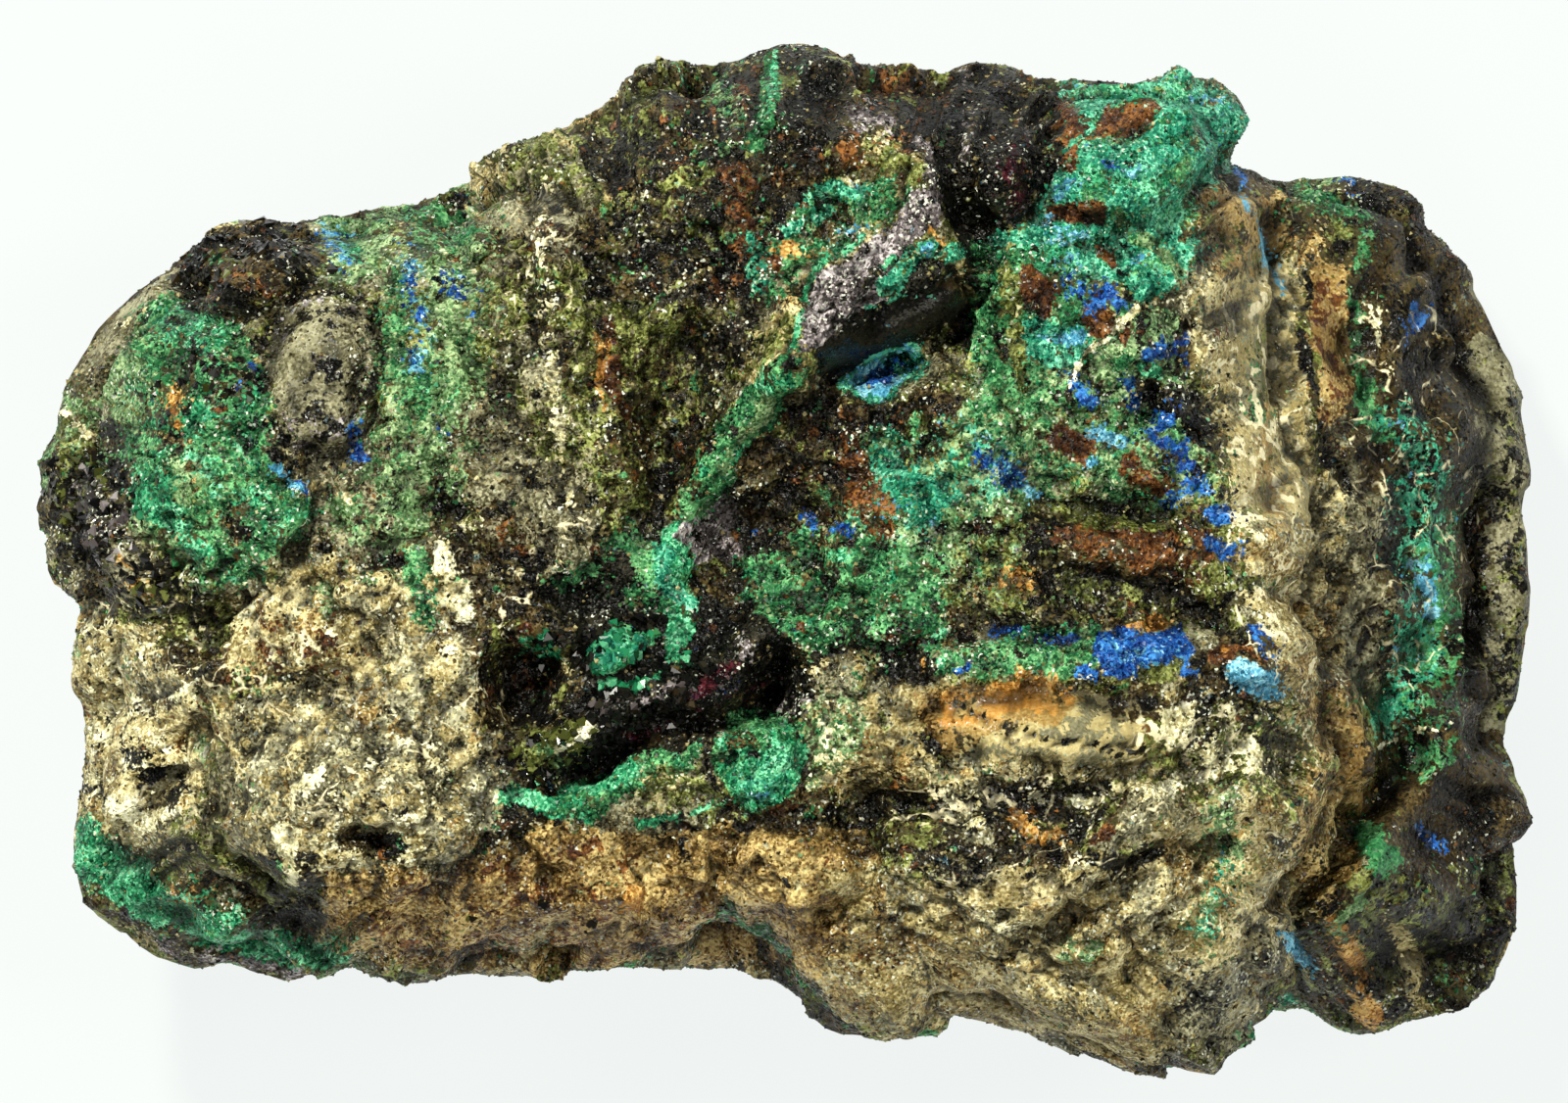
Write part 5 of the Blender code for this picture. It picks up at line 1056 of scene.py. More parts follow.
def swollen(cube, outline, centre, rim_height, level, breaks, fullness):
    """Turns points of the box into points of a block, as in the CAD solid.

    The top square becomes a disc, and the sides the wall below it. Share of the outline's radius
    and share of the height follow a rounded square: one power plus the other makes 1. The rim,
    where the block is widest, runs up and down by a third of its height. What stands out past
    the plane of a break is pressed back onto that plane.
    """
    a, b, c = cube.T
    disc_x, disc_y = a * np.sqrt(1 - b * b / 2), b * np.sqrt(1 - a * a / 2)
    reach = np.hypot(disc_x, disc_y)
    bearing = np.arctan2(disc_y, disc_x)
    power = np.where(c > 0, fullness, UNDER_TAPER)
    cap = (1 - RIM_SHARE**power) ** (1 / power)
    flat = np.abs(c) > 1 - SMALL
    high = np.where(flat, (1 - (cap * reach) ** power) ** (1 / power), np.abs(c) * RIM_SHARE)
    wide = np.where(flat, cap * reach, (1 - high**power) ** (1 / power))
    radii = outline_radius(bearing, outline, centre)
    around = np.stack([np.cos(bearing), np.sin(bearing), np.zeros(len(bearing))], axis=-1)
    rim = rim_height * (1 + RIM_SWAY * smooth_noise(around, *RIM_NOISE))
    x = centre[0] + wide * radii * np.cos(bearing)
    y = centre[1] + wide * radii * np.sin(bearing)
    z = np.where(c > 0, rim + (level(x, y) - rim) * high, rim - (rim + BURIED) * high)
    outward = np.stack([np.cos(bearing) * (1 - high), np.sin(bearing) * (1 - high),
                        np.where(c > 0, high, -high)], axis=-1)
    outward = unit(outward)
    points = np.stack([x, y, z], axis=-1)
    for side, lean in np.radians(breaks):
        sideways = np.array([np.cos(side), np.sin(side)])
        facing = np.array([*(sideways * np.cos(lean)), -np.sin(lean)])
        crossing = np.array([*(sideways * (np.array(outline) @ sideways).max()), BREAK_START * rim_height])
        points -= facing * np.clip((points - crossing) @ facing, 0, None)[:, None]
    return points, outward, high


def weathered(points, outward, high):
    """Breaks the smooth block up as the CAD solid does: broken facets, deeper on the walls, and lumps."""
    on_wall = 1 - np.clip((high - WALL_START) / WALL_FADE, 0, 1)
    off_rim = RIM_ROUGHNESS + (1 - RIM_ROUGHNESS) * np.clip(high / RIM_FADE, 0, 1)
    chip, size, salt = WALL_CHIPS
    depth = (chip * chipped(points, size, salt) - WALL_SINK) * on_wall
    chip, size, salt = SMALL_CHIPS
    depth += (chip + SMALL_CHIPS_ON_WALL * on_wall) * chipped(points, size, salt)
    lump, size, salt = LUMPS
    depth += lump * smooth_noise(points, size, salt)
    return points + outward * (depth * off_rim)[:, None]


def roughened(points, normals):
    """Adds chips, lumps and pits down to 0.3 mm to the joined stone, except where it is smooth."""
    turned_points = points @ NOISE_TURN
    rough = 1 - SMOOTHED_SHARE * coverage_of(points, SMOOTH)
    rough = rough * np.clip(ROUGH_MEAN + ROUGH_SPREAD * layered_noise(points, *ROUGH_PLACES), *ROUGH_LIMITS)
    fine = sum(chip * chipped(turned_points, size, salt, FINE_SHARPNESS) for chip, size, salt in FINE_CHIPS)
    lump, size, salt = FINE_LUMPS
    fine += lump * smooth_noise(turned_points, size, salt)
    pit, size, salt = FINE_PITS
    pits = np.clip(smooth_noise(turned_points, size, salt) - PIT_START, 0, 1)
    steep = 1 - WALL_SMOOTHNESS * np.clip(1 - 2 * normals[:, 2], 0, 1)
    return points + normals * (rough * steep * (fine - pit * pits))[:, None]


def held_in(points, outline, centre):
    """Draws back what stands out past the outline seen from above."""
    out = points[:, :2] - centre
    reach = np.hypot(*out.T)
    allowed = outline_radius(np.arctan2(out[:, 1], out[:, 0]), outline, centre) + OUTLINE_PLAY
    points[:, :2] = centre + out * np.minimum(1, allowed / np.maximum(reach, SMALL))[:, None]
    return points


def inside_corners(x, y, corners):
    """True where a point lies inside a closed line, by counting the sides that a ray towards +X crosses."""
    inside = np.zeros(len(x), dtype=bool)
    for (ax, ay), (bx, by) in zip(corners, corners[1:] + corners[:1]):
        between = (ay > y) != (by > y)
        crossing = ax + (y - ay) * (bx - ax) / (by - ay if by != ay else TINY)
        inside ^= between & (x < crossing)
    return inside


def distance_to_mark(x, y, mark):
    """Distance from each point to the edge of a zone or stroke, below zero inside it."""
    if isinstance(mark, Stroke):
        return distance_to_line(x, y, mark.line) - mark.half_width
    away = distance_to_line(x, y, mark.corners + mark.corners[:1])
    return np.where(inside_corners(x, y, mark.corners), -away, away)


def coverage_of(points, marks, bend=STROKE_BEND):
    """The strongest coverage of several marks at each point: full inside, falling over the soft edge."""
    x, y = wander(points[:, 0], points[:, 1], *bend)
    strongest = np.zeros(len(points))
    for mark in marks:
        away = distance_to_mark(x, y, mark)
        strongest = np.maximum(strongest, mark.level * np.clip(0.5 - away / mark.soft, 0, 1))
    return strongest


def laid_over(cover, mineral, amount):
    """Puts a mineral over the others: where it is over half present, it hides them in proportion."""
    hidden = np.clip(2 * amount - 1, 0, 1)
    for name in cover:
        cover[name] = cover[name] * (1 - hidden)
    cover[mineral] = np.maximum(cover[mineral], amount)


def patch(points, size, salt, layers_of_noise, start):
    """Share of a patch at each point: it begins where a noise of this size passes its start."""
    noise = layered_noise(points, size, salt, layers_of_noise)
    return np.clip(0.5 + (noise - start) * PATCH_CRISP, 0, 1)


def patchy(cover, points, patches, salt, share=1.0):
    """Lays minerals down in patches of noise, one after another."""
    for n, (mineral, size, start, level) in enumerate(patches):
        laid_over(cover, mineral, share * level * patch(points, size, salt + SALT_STEP * n, 4, start))


def noisy_ground(points, base, patches, salt):
    """Coverage of each mineral where noise alone lays it over tan rock."""
    cover = {mineral.name: np.zeros(len(points)) for mineral in MINERALS}
    laid_over(cover, "tan", np.full(len(points), base))
    patchy(cover, points, patches, salt)
    return cover


def placed_minerals(points):
    """Coverage of each mineral as the tables place it, seen from above, over what noise lays down.

    Noise moves the edge of each mark, less for a thin stroke, and lets its level drift unless it is full.
    """
    cover = noisy_ground(points, GROUND_BASE, GROUND_PATCHES, GROUND_SALT)
    x, y = wander(points[:, 0], points[:, 1], *ZONE_BEND)
    ragged = layered_noise(points, *EDGE_NOISE)
    drift = layered_noise(points, *LEVEL_NOISE) - LEVEL_LOSS
    for mark in PLACED:
        reach = EDGE_REACH + EDGE_SHARE * mark.soft
        if isinstance(mark, Stroke):
            reach = min(reach, STROKE_EDGE * mark.half_width)
        away = distance_to_mark(x, y, mark) + reach * ragged
        level = np.clip(mark.level + LEVEL_DRIFT * min(1, 4 * (1 - mark.level)) * drift, 0, 1)
        laid_over(cover, mark.mineral, level * np.clip(0.5 - away / mark.soft, 0, 1))
    return cover


def painted(points, normals):
    """Coverage of each mineral: the placed ones on what faces up, noise on the rest, others on both."""
    ragged = layered_noise(points, *SEEN_NOISE)
    seen = np.clip((normals[:, 2] + SEEN_RAGGED * ragged) / SEEN_FADE, 0, 1)
    placed = placed_minerals(points)
    wall = noisy_ground(points, WALL_BASE, WALL_PATCHES, WALL_SALT)
    cover = {name: placed[name] * seen + wall[name] * (1 - seen) for name in placed}
    mixed = 1 - coverage_of(points, SMOOTH)
    hosts = {name: amount * mixed for name, amount in cover.items()}
    for n, (host, mineral, size, start, level) in enumerate(COMPANIONS):
        share = patch(points, size, COMPANION_SALT + SALT_STEP * n, 3, start)
        laid_over(cover, mineral, hosts[host] * level * share)
    patchy(cover, points, LAST_SPECKS, SPECK_SALT, mixed)
    return cover


def linear(colour):
    """Linear light for a colour in sRGB steps of 0 to 255: a straight start, then a power."""
    share = np.array(colour) / 255.0
    return np.where(share <= 0.04045, share / 12.92, ((share + 0.055) / 1.055) ** 2.4)


def opaque(colour):
    """A colour in sRGB steps as linear light with full alpha."""
    return (*linear(colour), 1.0)


def unit(vectors):
    """Vectors brought to a length of 1."""
    return vectors / np.maximum(np.linalg.norm(vectors, axis=-1, keepdims=True), TINY**2)


def mesh_object(name, points, faces):
    """An object from an array of points in metres and a list of arrays of faces."""
    mesh = bpy.data.meshes.new(name)
    corners = np.concatenate([face.ravel() for face in faces])
    sizes = np.concatenate([np.full(len(face), face.shape[1]) for face in faces])
    mesh.vertices.add(len(points))
    mesh.vertices.foreach_set("co", np.ascontiguousarray(points, dtype=np.float32).ravel())
    mesh.loops.add(len(corners))
    mesh.loops.foreach_set("vertex_index", corners.astype(np.int32))
    mesh.polygons.add(len(sizes))
    mesh.polygons.foreach_set("loop_start", (np.cumsum(sizes) - sizes).astype(np.int32))
    mesh.update(calc_edges=True)
    mesh.validate()
    made = bpy.data.objects.new(name, mesh)
    bpy.context.scene.collection.objects.link(made)
    return made


def rough_block(name, cells, crowding, outline, centre, rim, level, breaks, fullness):
    """One block of the stone as an object."""
    cube, quads, fan = open_box(cells, crowding)
    points, outward, high = swollen(cube, outline, centre, rim, level, breaks, fullness)
    points = held_in(weathered(points, outward, high), outline, centre)
    return mesh_object(name, (points - MIDDLE) * MM, [quads, fan])


def joined_stone():
    """Both blocks grown together in one closed mesh, roughened, with the base pressed flat."""
    stone = rough_block("stone", FRONT_CELLS, 1.0, FRONT_OUTLINE, FRONT_CENTRE, FRONT_RIM, front_level,
                        FRONT_BREAKS, FRONT_FULLNESS)
    back = rough_block("back block", BACK_CELLS, BACK_CROWDING, BACK_OUTLINE, BACK_CENTRE, BACK_RIM,
                       back_level, BACK_BREAKS, BACK_FULLNESS)
    union = stone.modifiers.new("grown together", "BOOLEAN")
    union.operation = "UNION"
    union.solver = UNION_SOLVER
    union.object = back
    stone.data = baked(stone)
    stone.modifiers.clear()
    bpy.data.objects.remove(back)
    points = vertex_array(stone.data).astype(float)
    normals = normal_array(points, triangle_array(stone.data))
    normals = unit(smoothed(normals, edge_array(stone.data), UNION_PASSES))
    points = (roughened(points / MM + MIDDLE, normals) - MIDDLE) * MM
    points[:, 2] = np.maximum(points[:, 2], 0)
    stone.data.vertices.foreach_set("co", points.astype(np.float32).ravel())
    stone.data.shade_smooth()
    stone.data.update()
    return stone


def baked(thing):
    """A new mesh with the object's modifiers applied."""
    graph = bpy.context.evaluated_depsgraph_get()
    return bpy.data.meshes.new_from_object(thing.evaluated_get(graph), depsgraph=graph)


def vertex_array(mesh):
    """The mesh's points as an array, in metres."""
    points = np.empty(len(mesh.vertices) * 3, dtype=np.float32)
    mesh.vertices.foreach_get("co", points)
    return points.reshape(-1, 3)


def triangle_array(mesh):
    """The mesh's triangles as an array of point numbers."""
    mesh.calc_loop_triangles()
    corners = np.empty(len(mesh.loop_triangles) * 3, dtype=np.int32)
    mesh.loop_triangles.foreach_get("vertices", corners)
    return corners.reshape(-1, 3)


def normal_array(points, triangles):
    """Outward direction at each point: the sum of its triangles' directions by area."""
    a, b, c = (points[triangles[:, n]] for n in range(3))
    facing = np.cross(b - a, c - a)
    normals = np.zeros_like(points)
    for n in range(3):
        for axis in range(3):
            normals[:, axis] += np.bincount(triangles[:, n], facing[:, axis], len(points))
    return unit(normals)


def smoothed(values, pairs, passes):
    """Values averaged with their neighbours along the edges, over and over."""
    first, second = np.concatenate([pairs, pairs[:, ::-1]]).T
    count = np.bincount(first, minlength=len(values)) + 1.0
    for _ in range(passes):
        total = [np.bincount(first, column[second], len(values)) for column in values.T]
        values = (values + np.stack(total, axis=-1)) / count[:, None]
    return values


def edge_array(mesh):
    """The mesh's edges as an array of point numbers."""
    ends = np.empty(len(mesh.edges) * 2, dtype=np.int32)
    mesh.edges.foreach_get("vertices", ends)
    return ends.reshape(-1, 2)


def hollowness(points, normals, pairs):
    """How far each point lies in a hollow, in millimetres: small pits and wide hollows by turns."""
    depths = []
    values = points
    for passes in HOLLOW_PASSES:
        values = smoothed(values, pairs, passes)
        depths.append(((values - points) * normals).sum(axis=-1) / MM)
    return depths


def set_attribute(mesh, name, values):
    """Keeps one number or one colour for each point of a mesh."""
    kind, field = ("FLOAT", "value") if values.ndim == 1 else ("FLOAT_COLOR", "color")
    layer = mesh.attributes.new(name, kind, "POINT")
    layer.data.foreach_set(field, np.ascontiguousarray(values, dtype=np.float32).ravel())


def node(tree, kind, inputs=None, **settings):
    """One shader node. Inputs are values or the sockets of other nodes."""
    made = tree.nodes.new(kind)
    for name, value in settings.items():
        setattr(made, name, value)
    for socket, value in (inputs or {}).items():
        if isinstance(value, bpy.types.NodeSocket):
            tree.links.new(value, made.inputs[socket])
        else:
            made.inputs[socket].default_value = value
    return made


def sums(tree, operation, a, b=0.0, c=0.0, clamp=False):
    """One step of arithmetic in a shader."""
    made = node(tree, "ShaderNodeMath", {0: a, 1: b}, operation=operation, use_clamp=clamp)
    if operation == "MULTIPLY_ADD":
        made.inputs[2].default_value = c
    return made.outputs[0]


def mixed_colour(tree, share, a, b, blend="MIX"):
    """Colour a turned into colour b by a share."""
    return node(tree, "ShaderNodeMix", {0: share, 6: a, 7: b}, data_type="RGBA", blend_type=blend).outputs[2]


def mixed_value(tree, share, a, b):
    """Value a turned into value b by a share."""
    return node(tree, "ShaderNodeMix", {0: share, 2: a, 3: b}, data_type="FLOAT").outputs[0]


def kept(tree, name, output="Fac"):
    """What the mesh keeps on its points under a name."""
    return node(tree, "ShaderNodeAttribute", attribute_name=name).outputs[output]


def new_group(name, *sockets):
    """A shader group, what it is given and what it puts out. Sockets: kind, direction, names."""
    group = bpy.data.node_groups.new(name, "ShaderNodeTree")
    for kind, way, names in sockets:
        for socket in names:
            group.interface.new_socket(socket, in_out=way, socket_type="NodeSocket" + kind)
    return group, group.nodes.new("NodeGroupInput").outputs, group.nodes.new("NodeGroupOutput").inputs


def new_material(name):
    """A material with its node tree and its main shader's inputs."""
    material = bpy.data.materials.new(name)
    material.use_nodes = True
    return material, material.node_tree, material.node_tree.nodes["Principled BSDF"].inputs


def crust_group():
    """Shader group: one mineral over what lies under it, with a broken edge and three tones."""
    group, given, put_out = new_group(
        "crust", ("Color", "INPUT", ("Under", "Dark", "Middle", "Pale")),
        ("Float", "INPUT", ("Under Roughness", "Coverage", "Edge", "Tone", "Roughness")),
        ("Color", "OUTPUT", ("Color",)), ("Float", "OUTPUT", ("Roughness",)))
    edge = sums(group, "MULTIPLY_ADD", given["Edge"], EDGE_CONTRAST, 0.5 - EDGE_CONTRAST / 2, clamp=True)
    level = sums(group, "MULTIPLY_ADD", given["Coverage"], COVER_GAIN, COVER_START)
    mask = sums(group, "MULTIPLY_ADD", sums(group, "ADD", level, edge), EDGE_CRISP, 0.5, clamp=True)
    darker = sums(group, "MULTIPLY_ADD", given["Tone"], -TONE_STEEP, TONE_STEEP / 2, clamp=True)
    paler = sums(group, "MULTIPLY_ADD", given["Tone"], TONE_STEEP, -TONE_STEEP / 2, clamp=True)
    colour = mixed_colour(group, darker, given["Middle"], given["Dark"])
    colour = mixed_colour(group, paler, colour, given["Pale"])
    colour = mixed_colour(group, mask, given["Under"], colour)
    roughness = mixed_value(group, mask, given["Under Roughness"], given["Roughness"])
    group.links.new(colour, put_out["Color"])
    group.links.new(roughness, put_out["Roughness"])
    return group


def facet_group():
    """Shader group: tilts the surface by a random amount in each small cell, as crystal faces do."""
    group, given, put_out = new_group(
        "facets", ("Float", "INPUT", ("Cells", "Tilt")), ("Vector", "OUTPUT", ("Normal",)),
        ("Color", "OUTPUT", ("Cell",)))
    place = node(group, "ShaderNodeTexCoord").outputs["Object"]
    cell = node(group, "ShaderNodeTexVoronoi", {"Vector": place, "Scale": given["Cells"]}).outputs["Color"]
    centred = node(group, "ShaderNodeVectorMath", {0: cell, 1: (0.5, 0.5, 0.5)}, operation="SUBTRACT")
    tilt = node(group, "ShaderNodeVectorMath", {0: centred.outputs[0], "Scale": given["Tilt"]},
                operation="SCALE")
    upright = node(group, "ShaderNodeNewGeometry").outputs["Normal"]
    leaning = node(group, "ShaderNodeVectorMath", {0: upright, 1: tilt.outputs[0]}, operation="ADD")
    result = node(group, "ShaderNodeVectorMath", {0: leaning.outputs[0]}, operation="NORMALIZE")
    group.links.new(result.outputs[0], put_out["Normal"])
    group.links.new(cell, put_out["Cell"])
    return group


def fibre_group():
    """Shader group: a network of thin lines, the edges of bent cells, wider in some places."""
    group, given, put_out = new_group(
        "fibres", ("Float", "INPUT", ("Cells", "Bend", "Coverage", "Drift")), ("Float", "OUTPUT", ("Mask",)))
    place = node(group, "ShaderNodeTexCoord").outputs["Object"]
    noise = node(group, "ShaderNodeTexNoise", {"Vector": place, "Scale": given["Cells"], "Detail": 2.0})
    push = node(group, "ShaderNodeVectorMath", {0: noise.outputs["Color"], "Scale": given["Bend"]},
                operation="SCALE")
    bent = node(group, "ShaderNodeVectorMath", {0: place, 1: push.outputs[0]}, operation="ADD")
    cells = node(group, "ShaderNodeTexVoronoi", {"Vector": bent.outputs[0], "Scale": given["Cells"]},
                 feature="DISTANCE_TO_EDGE")
    width = sums(group, "MULTIPLY_ADD", given["Drift"], FIBRE_SPREAD, -FIBRE_START * FIBRE_SPREAD, clamp=True)
    width = sums(group, "MULTIPLY", width, given["Coverage"])
    inside = sums(group, "SUBTRACT", width, cells.outputs["Distance"])
    group.links.new(sums(group, "MULTIPLY", inside, FIBRE_CRISP, clamp=True), put_out["Mask"])
    return group


def crusted(tree, rough, speck, blotch, edge, grit):
    """Colour and roughness with every mineral laid as a crust over the last."""
    channels = ((blotch, CALM_TONES[0]), (grit, CALM_TONES[1]), (speck, CALM_TONES[2]))
    calm_blotch, calm_grit, calm_speck = (
        [mixed_value(tree, rough, calm, noise[n]) for n in range(3)] for noise, calm in channels)
    crust = crust_group()
    colour = opaque(BARE_ROCK)
    roughness = MINERALS[0].roughness
    for n, mineral in enumerate(MINERALS):
        own_blotch = sums(tree, "MULTIPLY_ADD", calm_blotch[n % 3], BLOTCH_TONE, 0.5 - BLOTCH_TONE / 2)
        own_grit = sums(tree, "MULTIPLY_ADD", calm_grit[(n + 1) % 3], GRIT_TONE, -GRIT_TONE / 2)
        own_speck = sums(tree, "MULTIPLY_ADD", calm_speck[n % 3], SPECK_TONE, -SPECK_TONE / 2)
        given = {"Under": colour, "Dark": opaque(mineral.dark), "Middle": opaque(mineral.middle),
                 "Pale": opaque(mineral.pale), "Under Roughness": roughness,
                 "Coverage": kept(tree, mineral.name),
                 "Edge": mixed_value(tree, EDGE_GRIT, edge[(n + n // 3) % 3], grit[n % 3]),
                 "Tone": sums(tree, "ADD", sums(tree, "ADD", own_blotch, own_grit), own_speck),
                 "Roughness": mineral.roughness}
        layer = node(tree, "ShaderNodeGroup", given, node_tree=crust)
        colour, roughness = (layer.outputs[name] for name in ("Color", "Roughness"))
    return colour, roughness


def stone_material():
    """The stone's surface: mineral crusts, fibres and painted glints, painted shade in hollows, with small
    facets.
    """
    material, tree, shader = new_material("stone")
    shader["Specular IOR Level"].default_value = STONE_SHINE
    place = node(tree, "ShaderNodeTexCoord").outputs["Object"]
    rough = kept(tree, "rough")
    tilt = sums(tree, "MULTIPLY", rough, FACET_TILT)
    facets = node(tree, "ShaderNodeGroup", {"Cells": FACET_CELLS, "Tilt": tilt}, node_tree=facet_group())
    speck = node(tree, "ShaderNodeSeparateColor", {0: facets.outputs["Cell"]}).outputs
    channels = []
    for scale, detail in NOISE_SCALES:
        noise = node(tree, "ShaderNodeTexNoise", {"Vector": place, "Scale": scale, "Detail": detail})
        channels.append(node(tree, "ShaderNodeSeparateColor", {0: noise.outputs["Color"]}).outputs)
    blotch, edge, grit = channels
    colour, roughness = crusted(tree, rough, speck, blotch, edge, grit)
    net = {"Cells": FIBRE_CELLS, "Bend": FIBRE_BEND / FIBRE_CELLS, "Coverage": kept(tree, "fibres"),
           "Drift": edge[2]}
    lines = node(tree, "ShaderNodeGroup", net, node_tree=fibre_group())
    colour = mixed_colour(tree, lines.outputs["Mask"], colour, opaque(FIBRE_COLOUR))
    # Painted glints: some facet cells turned near white in the base colour, standing in for reflections
    painted_glints = sums(tree, "MULTIPLY_ADD", kept(tree, "sparkle"), PAINTED_GLINT_SHARE, -1.0)
    painted_glints = sums(tree, "MULTIPLY", sums(tree, "ADD", painted_glints, speck[2]), PAINTED_GLINT_CRISP, clamp=True)
    colour = mixed_colour(tree, painted_glints, colour, opaque(PAINTED_GLINT_COLOUR))
    # Painted shade: the colour is darkened in hollows, and scaled by the stone's overall tone
    colour = mixed_colour(tree, 1.0, colour, kept(tree, "tone_and_painted_shade", "Color"), "MULTIPLY")
    tree.links.new(colour, shader["Base Color"])
    roughness = sums(tree, "ADD", roughness, kept(tree, "dull"))
    glint = sums(tree, "MULTIPLY_ADD", speck[1], GLINT_SPREAD, 1 - GLINT_MEAN * GLINT_SPREAD)
    tree.links.new(sums(tree, "MULTIPLY", roughness, glint, clamp=True), shader["Roughness"])
    lumps = node(tree, "ShaderNodeTexNoise", {"Vector": place, "Scale": BUMP_SCALE, "Detail": BUMP_DETAIL})
    bump = node(tree, "ShaderNodeBump", {"Height": lumps.outputs["Fac"], "Strength": rough,
                                         "Distance": BUMP_DEPTH, "Normal": facets.outputs["Normal"]})
    tree.links.new(bump.outputs["Normal"], shader["Normal"])
    return material


def grain_material(name, roughness):
    """Glossy loose crystals, each with its own colour kept on its points."""
    material, tree, shader = new_material(name)
    tree.links.new(kept(tree, "own colour", "Color"), shader["Base Color"])
    shader["Roughness"].default_value = roughness
    shader["Specular IOR Level"].default_value = GRAIN_SHINE
    return material


def turned(count, draws):
    """Random turns as rotation matrices, from random unit quaternions."""
    w, x, y, z = draws.normal(size=(4, count))
    length = np.sqrt(w * w + x * x + y * y + z * z)
    w, x, y, z = w / length, x / length, y / length, z / length
    rows = [[1 - 2 * (y * y + z * z), 2 * (x * y - w * z), 2 * (x * z + w * y)],
            [2 * (x * y + w * z), 1 - 2 * (x * x + z * z), 2 * (y * z - w * x)],
            [2 * (x * z - w * y), 2 * (y * z + w * x), 1 - 2 * (x * x + y * y)]]
    return np.moveaxis(np.array(rows), -1, 0)


def spread(points, normals, triangles, cover, count, density, draws):
    """Random places on the stone, most of them on what faces up, with the mineral that tops each."""
    a, b, c = (points[triangles[:, n]] for n in range(3))
    area = np.linalg.norm(np.cross(b - a, c - a), axis=-1) / 2
    facing = normals[triangles].mean(axis=1)[:, 2]
    weight = area * np.clip(facing + SIDE_BONUS, LEAST_WEIGHT, 1) * density[triangles].mean(axis=1)
    picked = draws.choice(len(triangles), count, p=weight / weight.sum())
    shares = np.sort(draws.random((count, 2)), axis=-1)
    shares = np.stack([shares[:, 0], shares[:, 1] - shares[:, 0], 1 - shares[:, 1]], axis=-1)
    corners = triangles[picked]
    place = (points[corners] * shares[:, :, None]).sum(axis=1)
    facing = unit((normals[corners] * shares[:, :, None]).sum(axis=1))
    topmost = np.zeros(count, dtype=int)
    for n, mineral in enumerate(MINERALS):
        own = (cover[mineral.name][corners] * shares).sum(axis=1)
        topmost = np.where(own + draws.random(count) > GRAIN_CHANCE, n, topmost)
    return place, facing, topmost


def of_kinds(topmost, kinds):
    """Which places are topped by one of these minerals."""
    names = np.array([mineral.name for mineral in MINERALS])
    return np.flatnonzero(np.isin(names[topmost], kinds))


def grains(name, place, facing, topmost, radius, rise, material, draws):
    """Small eight-faced crystals, more than half sunk, in one mesh with a colour for each."""
    count = len(place)
    tips = np.concatenate([np.eye(3), -np.eye(3)])
    sides = np.array([(0, 1, 2), (1, 3, 2), (3, 4, 2), (4, 0, 2), (1, 0, 5), (3, 1, 5), (4, 3, 5), (0, 4, 5)])
    size = radius[0] + (radius[1] - radius[0]) * draws.random(count) ** 2
    stretch = 1 + GRAIN_STRETCH * draws.random((count, 1, 3))
    tips = tips[None] * stretch * size[:, None, None]
    tips = np.einsum("nij,nkj->nki", turned(count, draws), tips)
    tips += (place / MM + facing * size[:, None] * rise)[:, None, :]
    faces = (sides[None] + 6 * np.arange(count)[:, None, None]).reshape(-1, 3)
    made = mesh_object(name, tips.reshape(-1, 3) * MM, [faces])
    tones = np.array([[linear(tone) for tone in (m.dark, m.middle, m.pale)] for m in MINERALS])
    mean, scatter = GRAIN_TONE
    at = np.clip(mean + scatter * draws.normal(size=count), 0, 1.99)
    low = at.astype(int)
    share = (at - low)[:, None]
    colour = tones[topmost, low] * (1 - share) + tones[topmost, np.minimum(low + 1, 2)] * share
    colour = np.concatenate([colour * STONE_TONE, np.ones((count, 1))], axis=-1)
    set_attribute(made.data, "own colour", np.repeat(colour, 6, axis=0))
    made.data.materials.append(material)
    made.data.shade_flat()
    return made


def area_light(name, place, energy, size):
    """A square soft light that points at the stone."""
    lamp = bpy.data.lights.new(name, "AREA")
    lamp.energy = energy
    lamp.size = size
    lamp.color = LIGHT_COLOUR
    made = bpy.data.objects.new(name, lamp)
    bpy.context.scene.collection.objects.link(made)
    made.location = place
    made.rotation_euler = (Vector(LIGHT_TARGET) - Vector(place)).to_track_quat("-Z", "Y").to_euler()


def studio():
    """Plain pale floor, soft light and a camera that looks straight down."""
    scene = bpy.context.scene
    corners = FLOOR_HALF * np.array([(-1.0, -1, 0), (1, -1, 0), (1, 1, 0), (-1, 1, 0)])
    floor = mesh_object("floor", corners, [np.array([[0, 1, 2, 3]])])
    pale, _, shader = new_material("floor")
    shader["Base Color"].default_value = (*FLOOR_COLOUR, 1.0)
    shader["Roughness"].default_value = 1.0
    shader["Emission Color"].default_value = (*FLOOR_COLOUR, 1.0)
    shader["Emission Strength"].default_value = FLOOR_GLOW
    floor.data.materials.append(pale)
    world = bpy.data.worlds.new("studio")
    world.use_nodes = True
    background = world.node_tree.nodes["Background"].inputs
    background["Color"].default_value = (*WORLD_COLOUR, 1.0)
    background["Strength"].default_value = WORLD_STRENGTH
    scene.world = world
    for light in LIGHTS:
        area_light(*light)
    lens = bpy.data.cameras.new("camera")
    lens.lens = LENS
    lens.clip_start = 0.01
    camera = bpy.data.objects.new("camera", lens)
    camera.location = (*FRAME_CENTRE, FRAME_HEIGHT + FRAME_WIDTH * LENS / lens.sensor_width)
    scene.collection.objects.link(camera)
    scene.camera = camera
    scene.view_settings.view_transform = "Standard"


def belongs(piece):
    """Ties a piece to the stone's body."""
    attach(piece, "root")


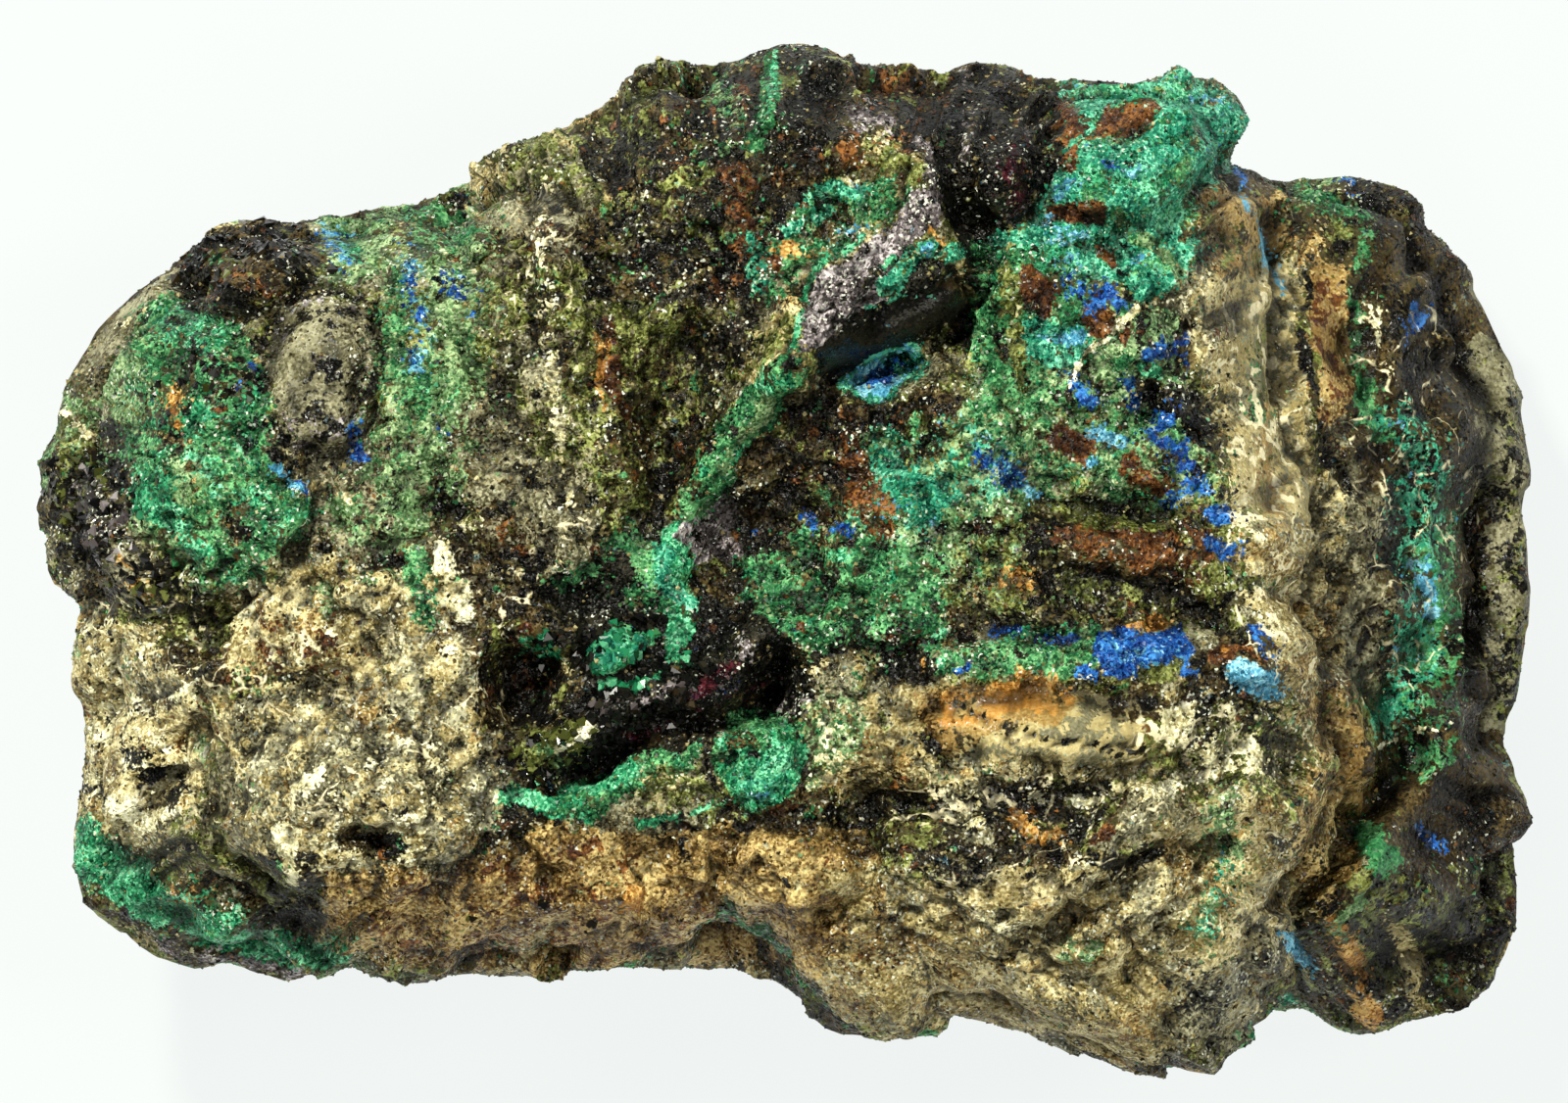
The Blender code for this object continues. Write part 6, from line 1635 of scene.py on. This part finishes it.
def dressed(stone):
    """Lays the minerals over the stone and raises their crusts. What its points hold comes back."""
    points = vertex_array(stone.data).astype(float)
    triangles = triangle_array(stone.data)
    normals = normal_array(points, triangles)
    pairs = edge_array(stone.data)
    cover = painted(points / MM + MIDDLE, unit(smoothed(normals, pairs, FACING_PASSES)))
    for name, amount in cover.items():
        set_attribute(stone.data, name, amount)
    # Share of painted glints at each point, clustered by noise and none where the stone is smooth
    sparkle = sum(cover[mineral.name] * mineral.sparkle for mineral in MINERALS)
    smooth = coverage_of(points / MM + MIDDLE, SMOOTH)
    clusters = CLUSTER_MEAN + CLUSTER_SPREAD * layered_noise(points / MM, *PAINTED_GLINT_CLUSTERS)
    set_attribute(stone.data, "sparkle", sparkle * np.clip(clusters, *CLUSTER_LIMITS) * (1 - smooth))
    set_attribute(stone.data, "rough", 1 - SMOOTH_POLISH * smooth)
    thickness = CRUST_THICKNESS * sum(cover[mineral.name] * mineral.height for mineral in MINERALS)
    thickness *= CRUST_MEAN + CRUST_SPREAD * smooth_noise(points / MM, *CRUST_NOISE)
    points += normals * (thickness * np.clip(normals[:, 2], 0, 1))[:, None] * MM
    stone.data.vertices.foreach_set("co", points.astype(np.float32).ravel())
    stone.data.update()
    set_attribute(stone.data, "fibres", coverage_of(points / MM + MIDDLE, NETWORKS, ZONE_BEND))
    # Painted shade: colour darkened in small and wide hollows, times the stone's overall tone
    small, wide = hollowness(points, normals, pairs)
    tone_and_painted_shade = STONE_TONE * np.clip(1 - SMALL_SHADE * small - WIDE_SHADE * wide, *SHADE_LIMITS)
    set_attribute(stone.data, "tone_and_painted_shade", np.stack([tone_and_painted_shade, tone_and_painted_shade, tone_and_painted_shade, np.ones(len(tone_and_painted_shade))], axis=-1))
    set_attribute(stone.data, "dull", WALL_DULLNESS * np.clip(1 - DULL_SLOPE * normals[:, 2], 0, 1))
    stone.data.materials.append(stone_material())
    return points, normals, triangles, cover, smooth


def main():
    """Builds the stone, sprinkles grains and crystals over it, and sets up the studio."""
    stone = joined_stone()
    points, normals, triangles, cover, smooth = dressed(stone)
    belongs(stone)
    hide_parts(STONE)

    draws = np.random.default_rng(SEED)
    density = 1 - GRAINS_ON_SMOOTH * smooth
    place, facing, topmost = spread(points, normals, triangles, cover, GRAIN_COUNT, density, draws)
    for name, kinds, roughness, most in GRAIN_PIECES:
        chosen = of_kinds(topmost, kinds)[:most]
        belongs(grains(name, place[chosen], facing[chosen], topmost[chosen], GRAIN_RADIUS, GRAIN_RISE,
                       grain_material(name, roughness), draws))
    density = coverage_of(points / MM + MIDDLE, CRYSTAL_PLACES)
    place, facing, topmost = spread(points, normals, triangles, cover, CRYSTAL_COUNT, density, draws)
    chosen = of_kinds(topmost, CRYSTAL_KINDS)
    belongs(grains("coarse_crystals", place[chosen], facing[chosen], topmost[chosen], CRYSTAL_RADIUS,
                   CRYSTAL_RISE, grain_material("coarse_crystals", CRYSTAL_ROUGHNESS), draws))
    studio()


main()
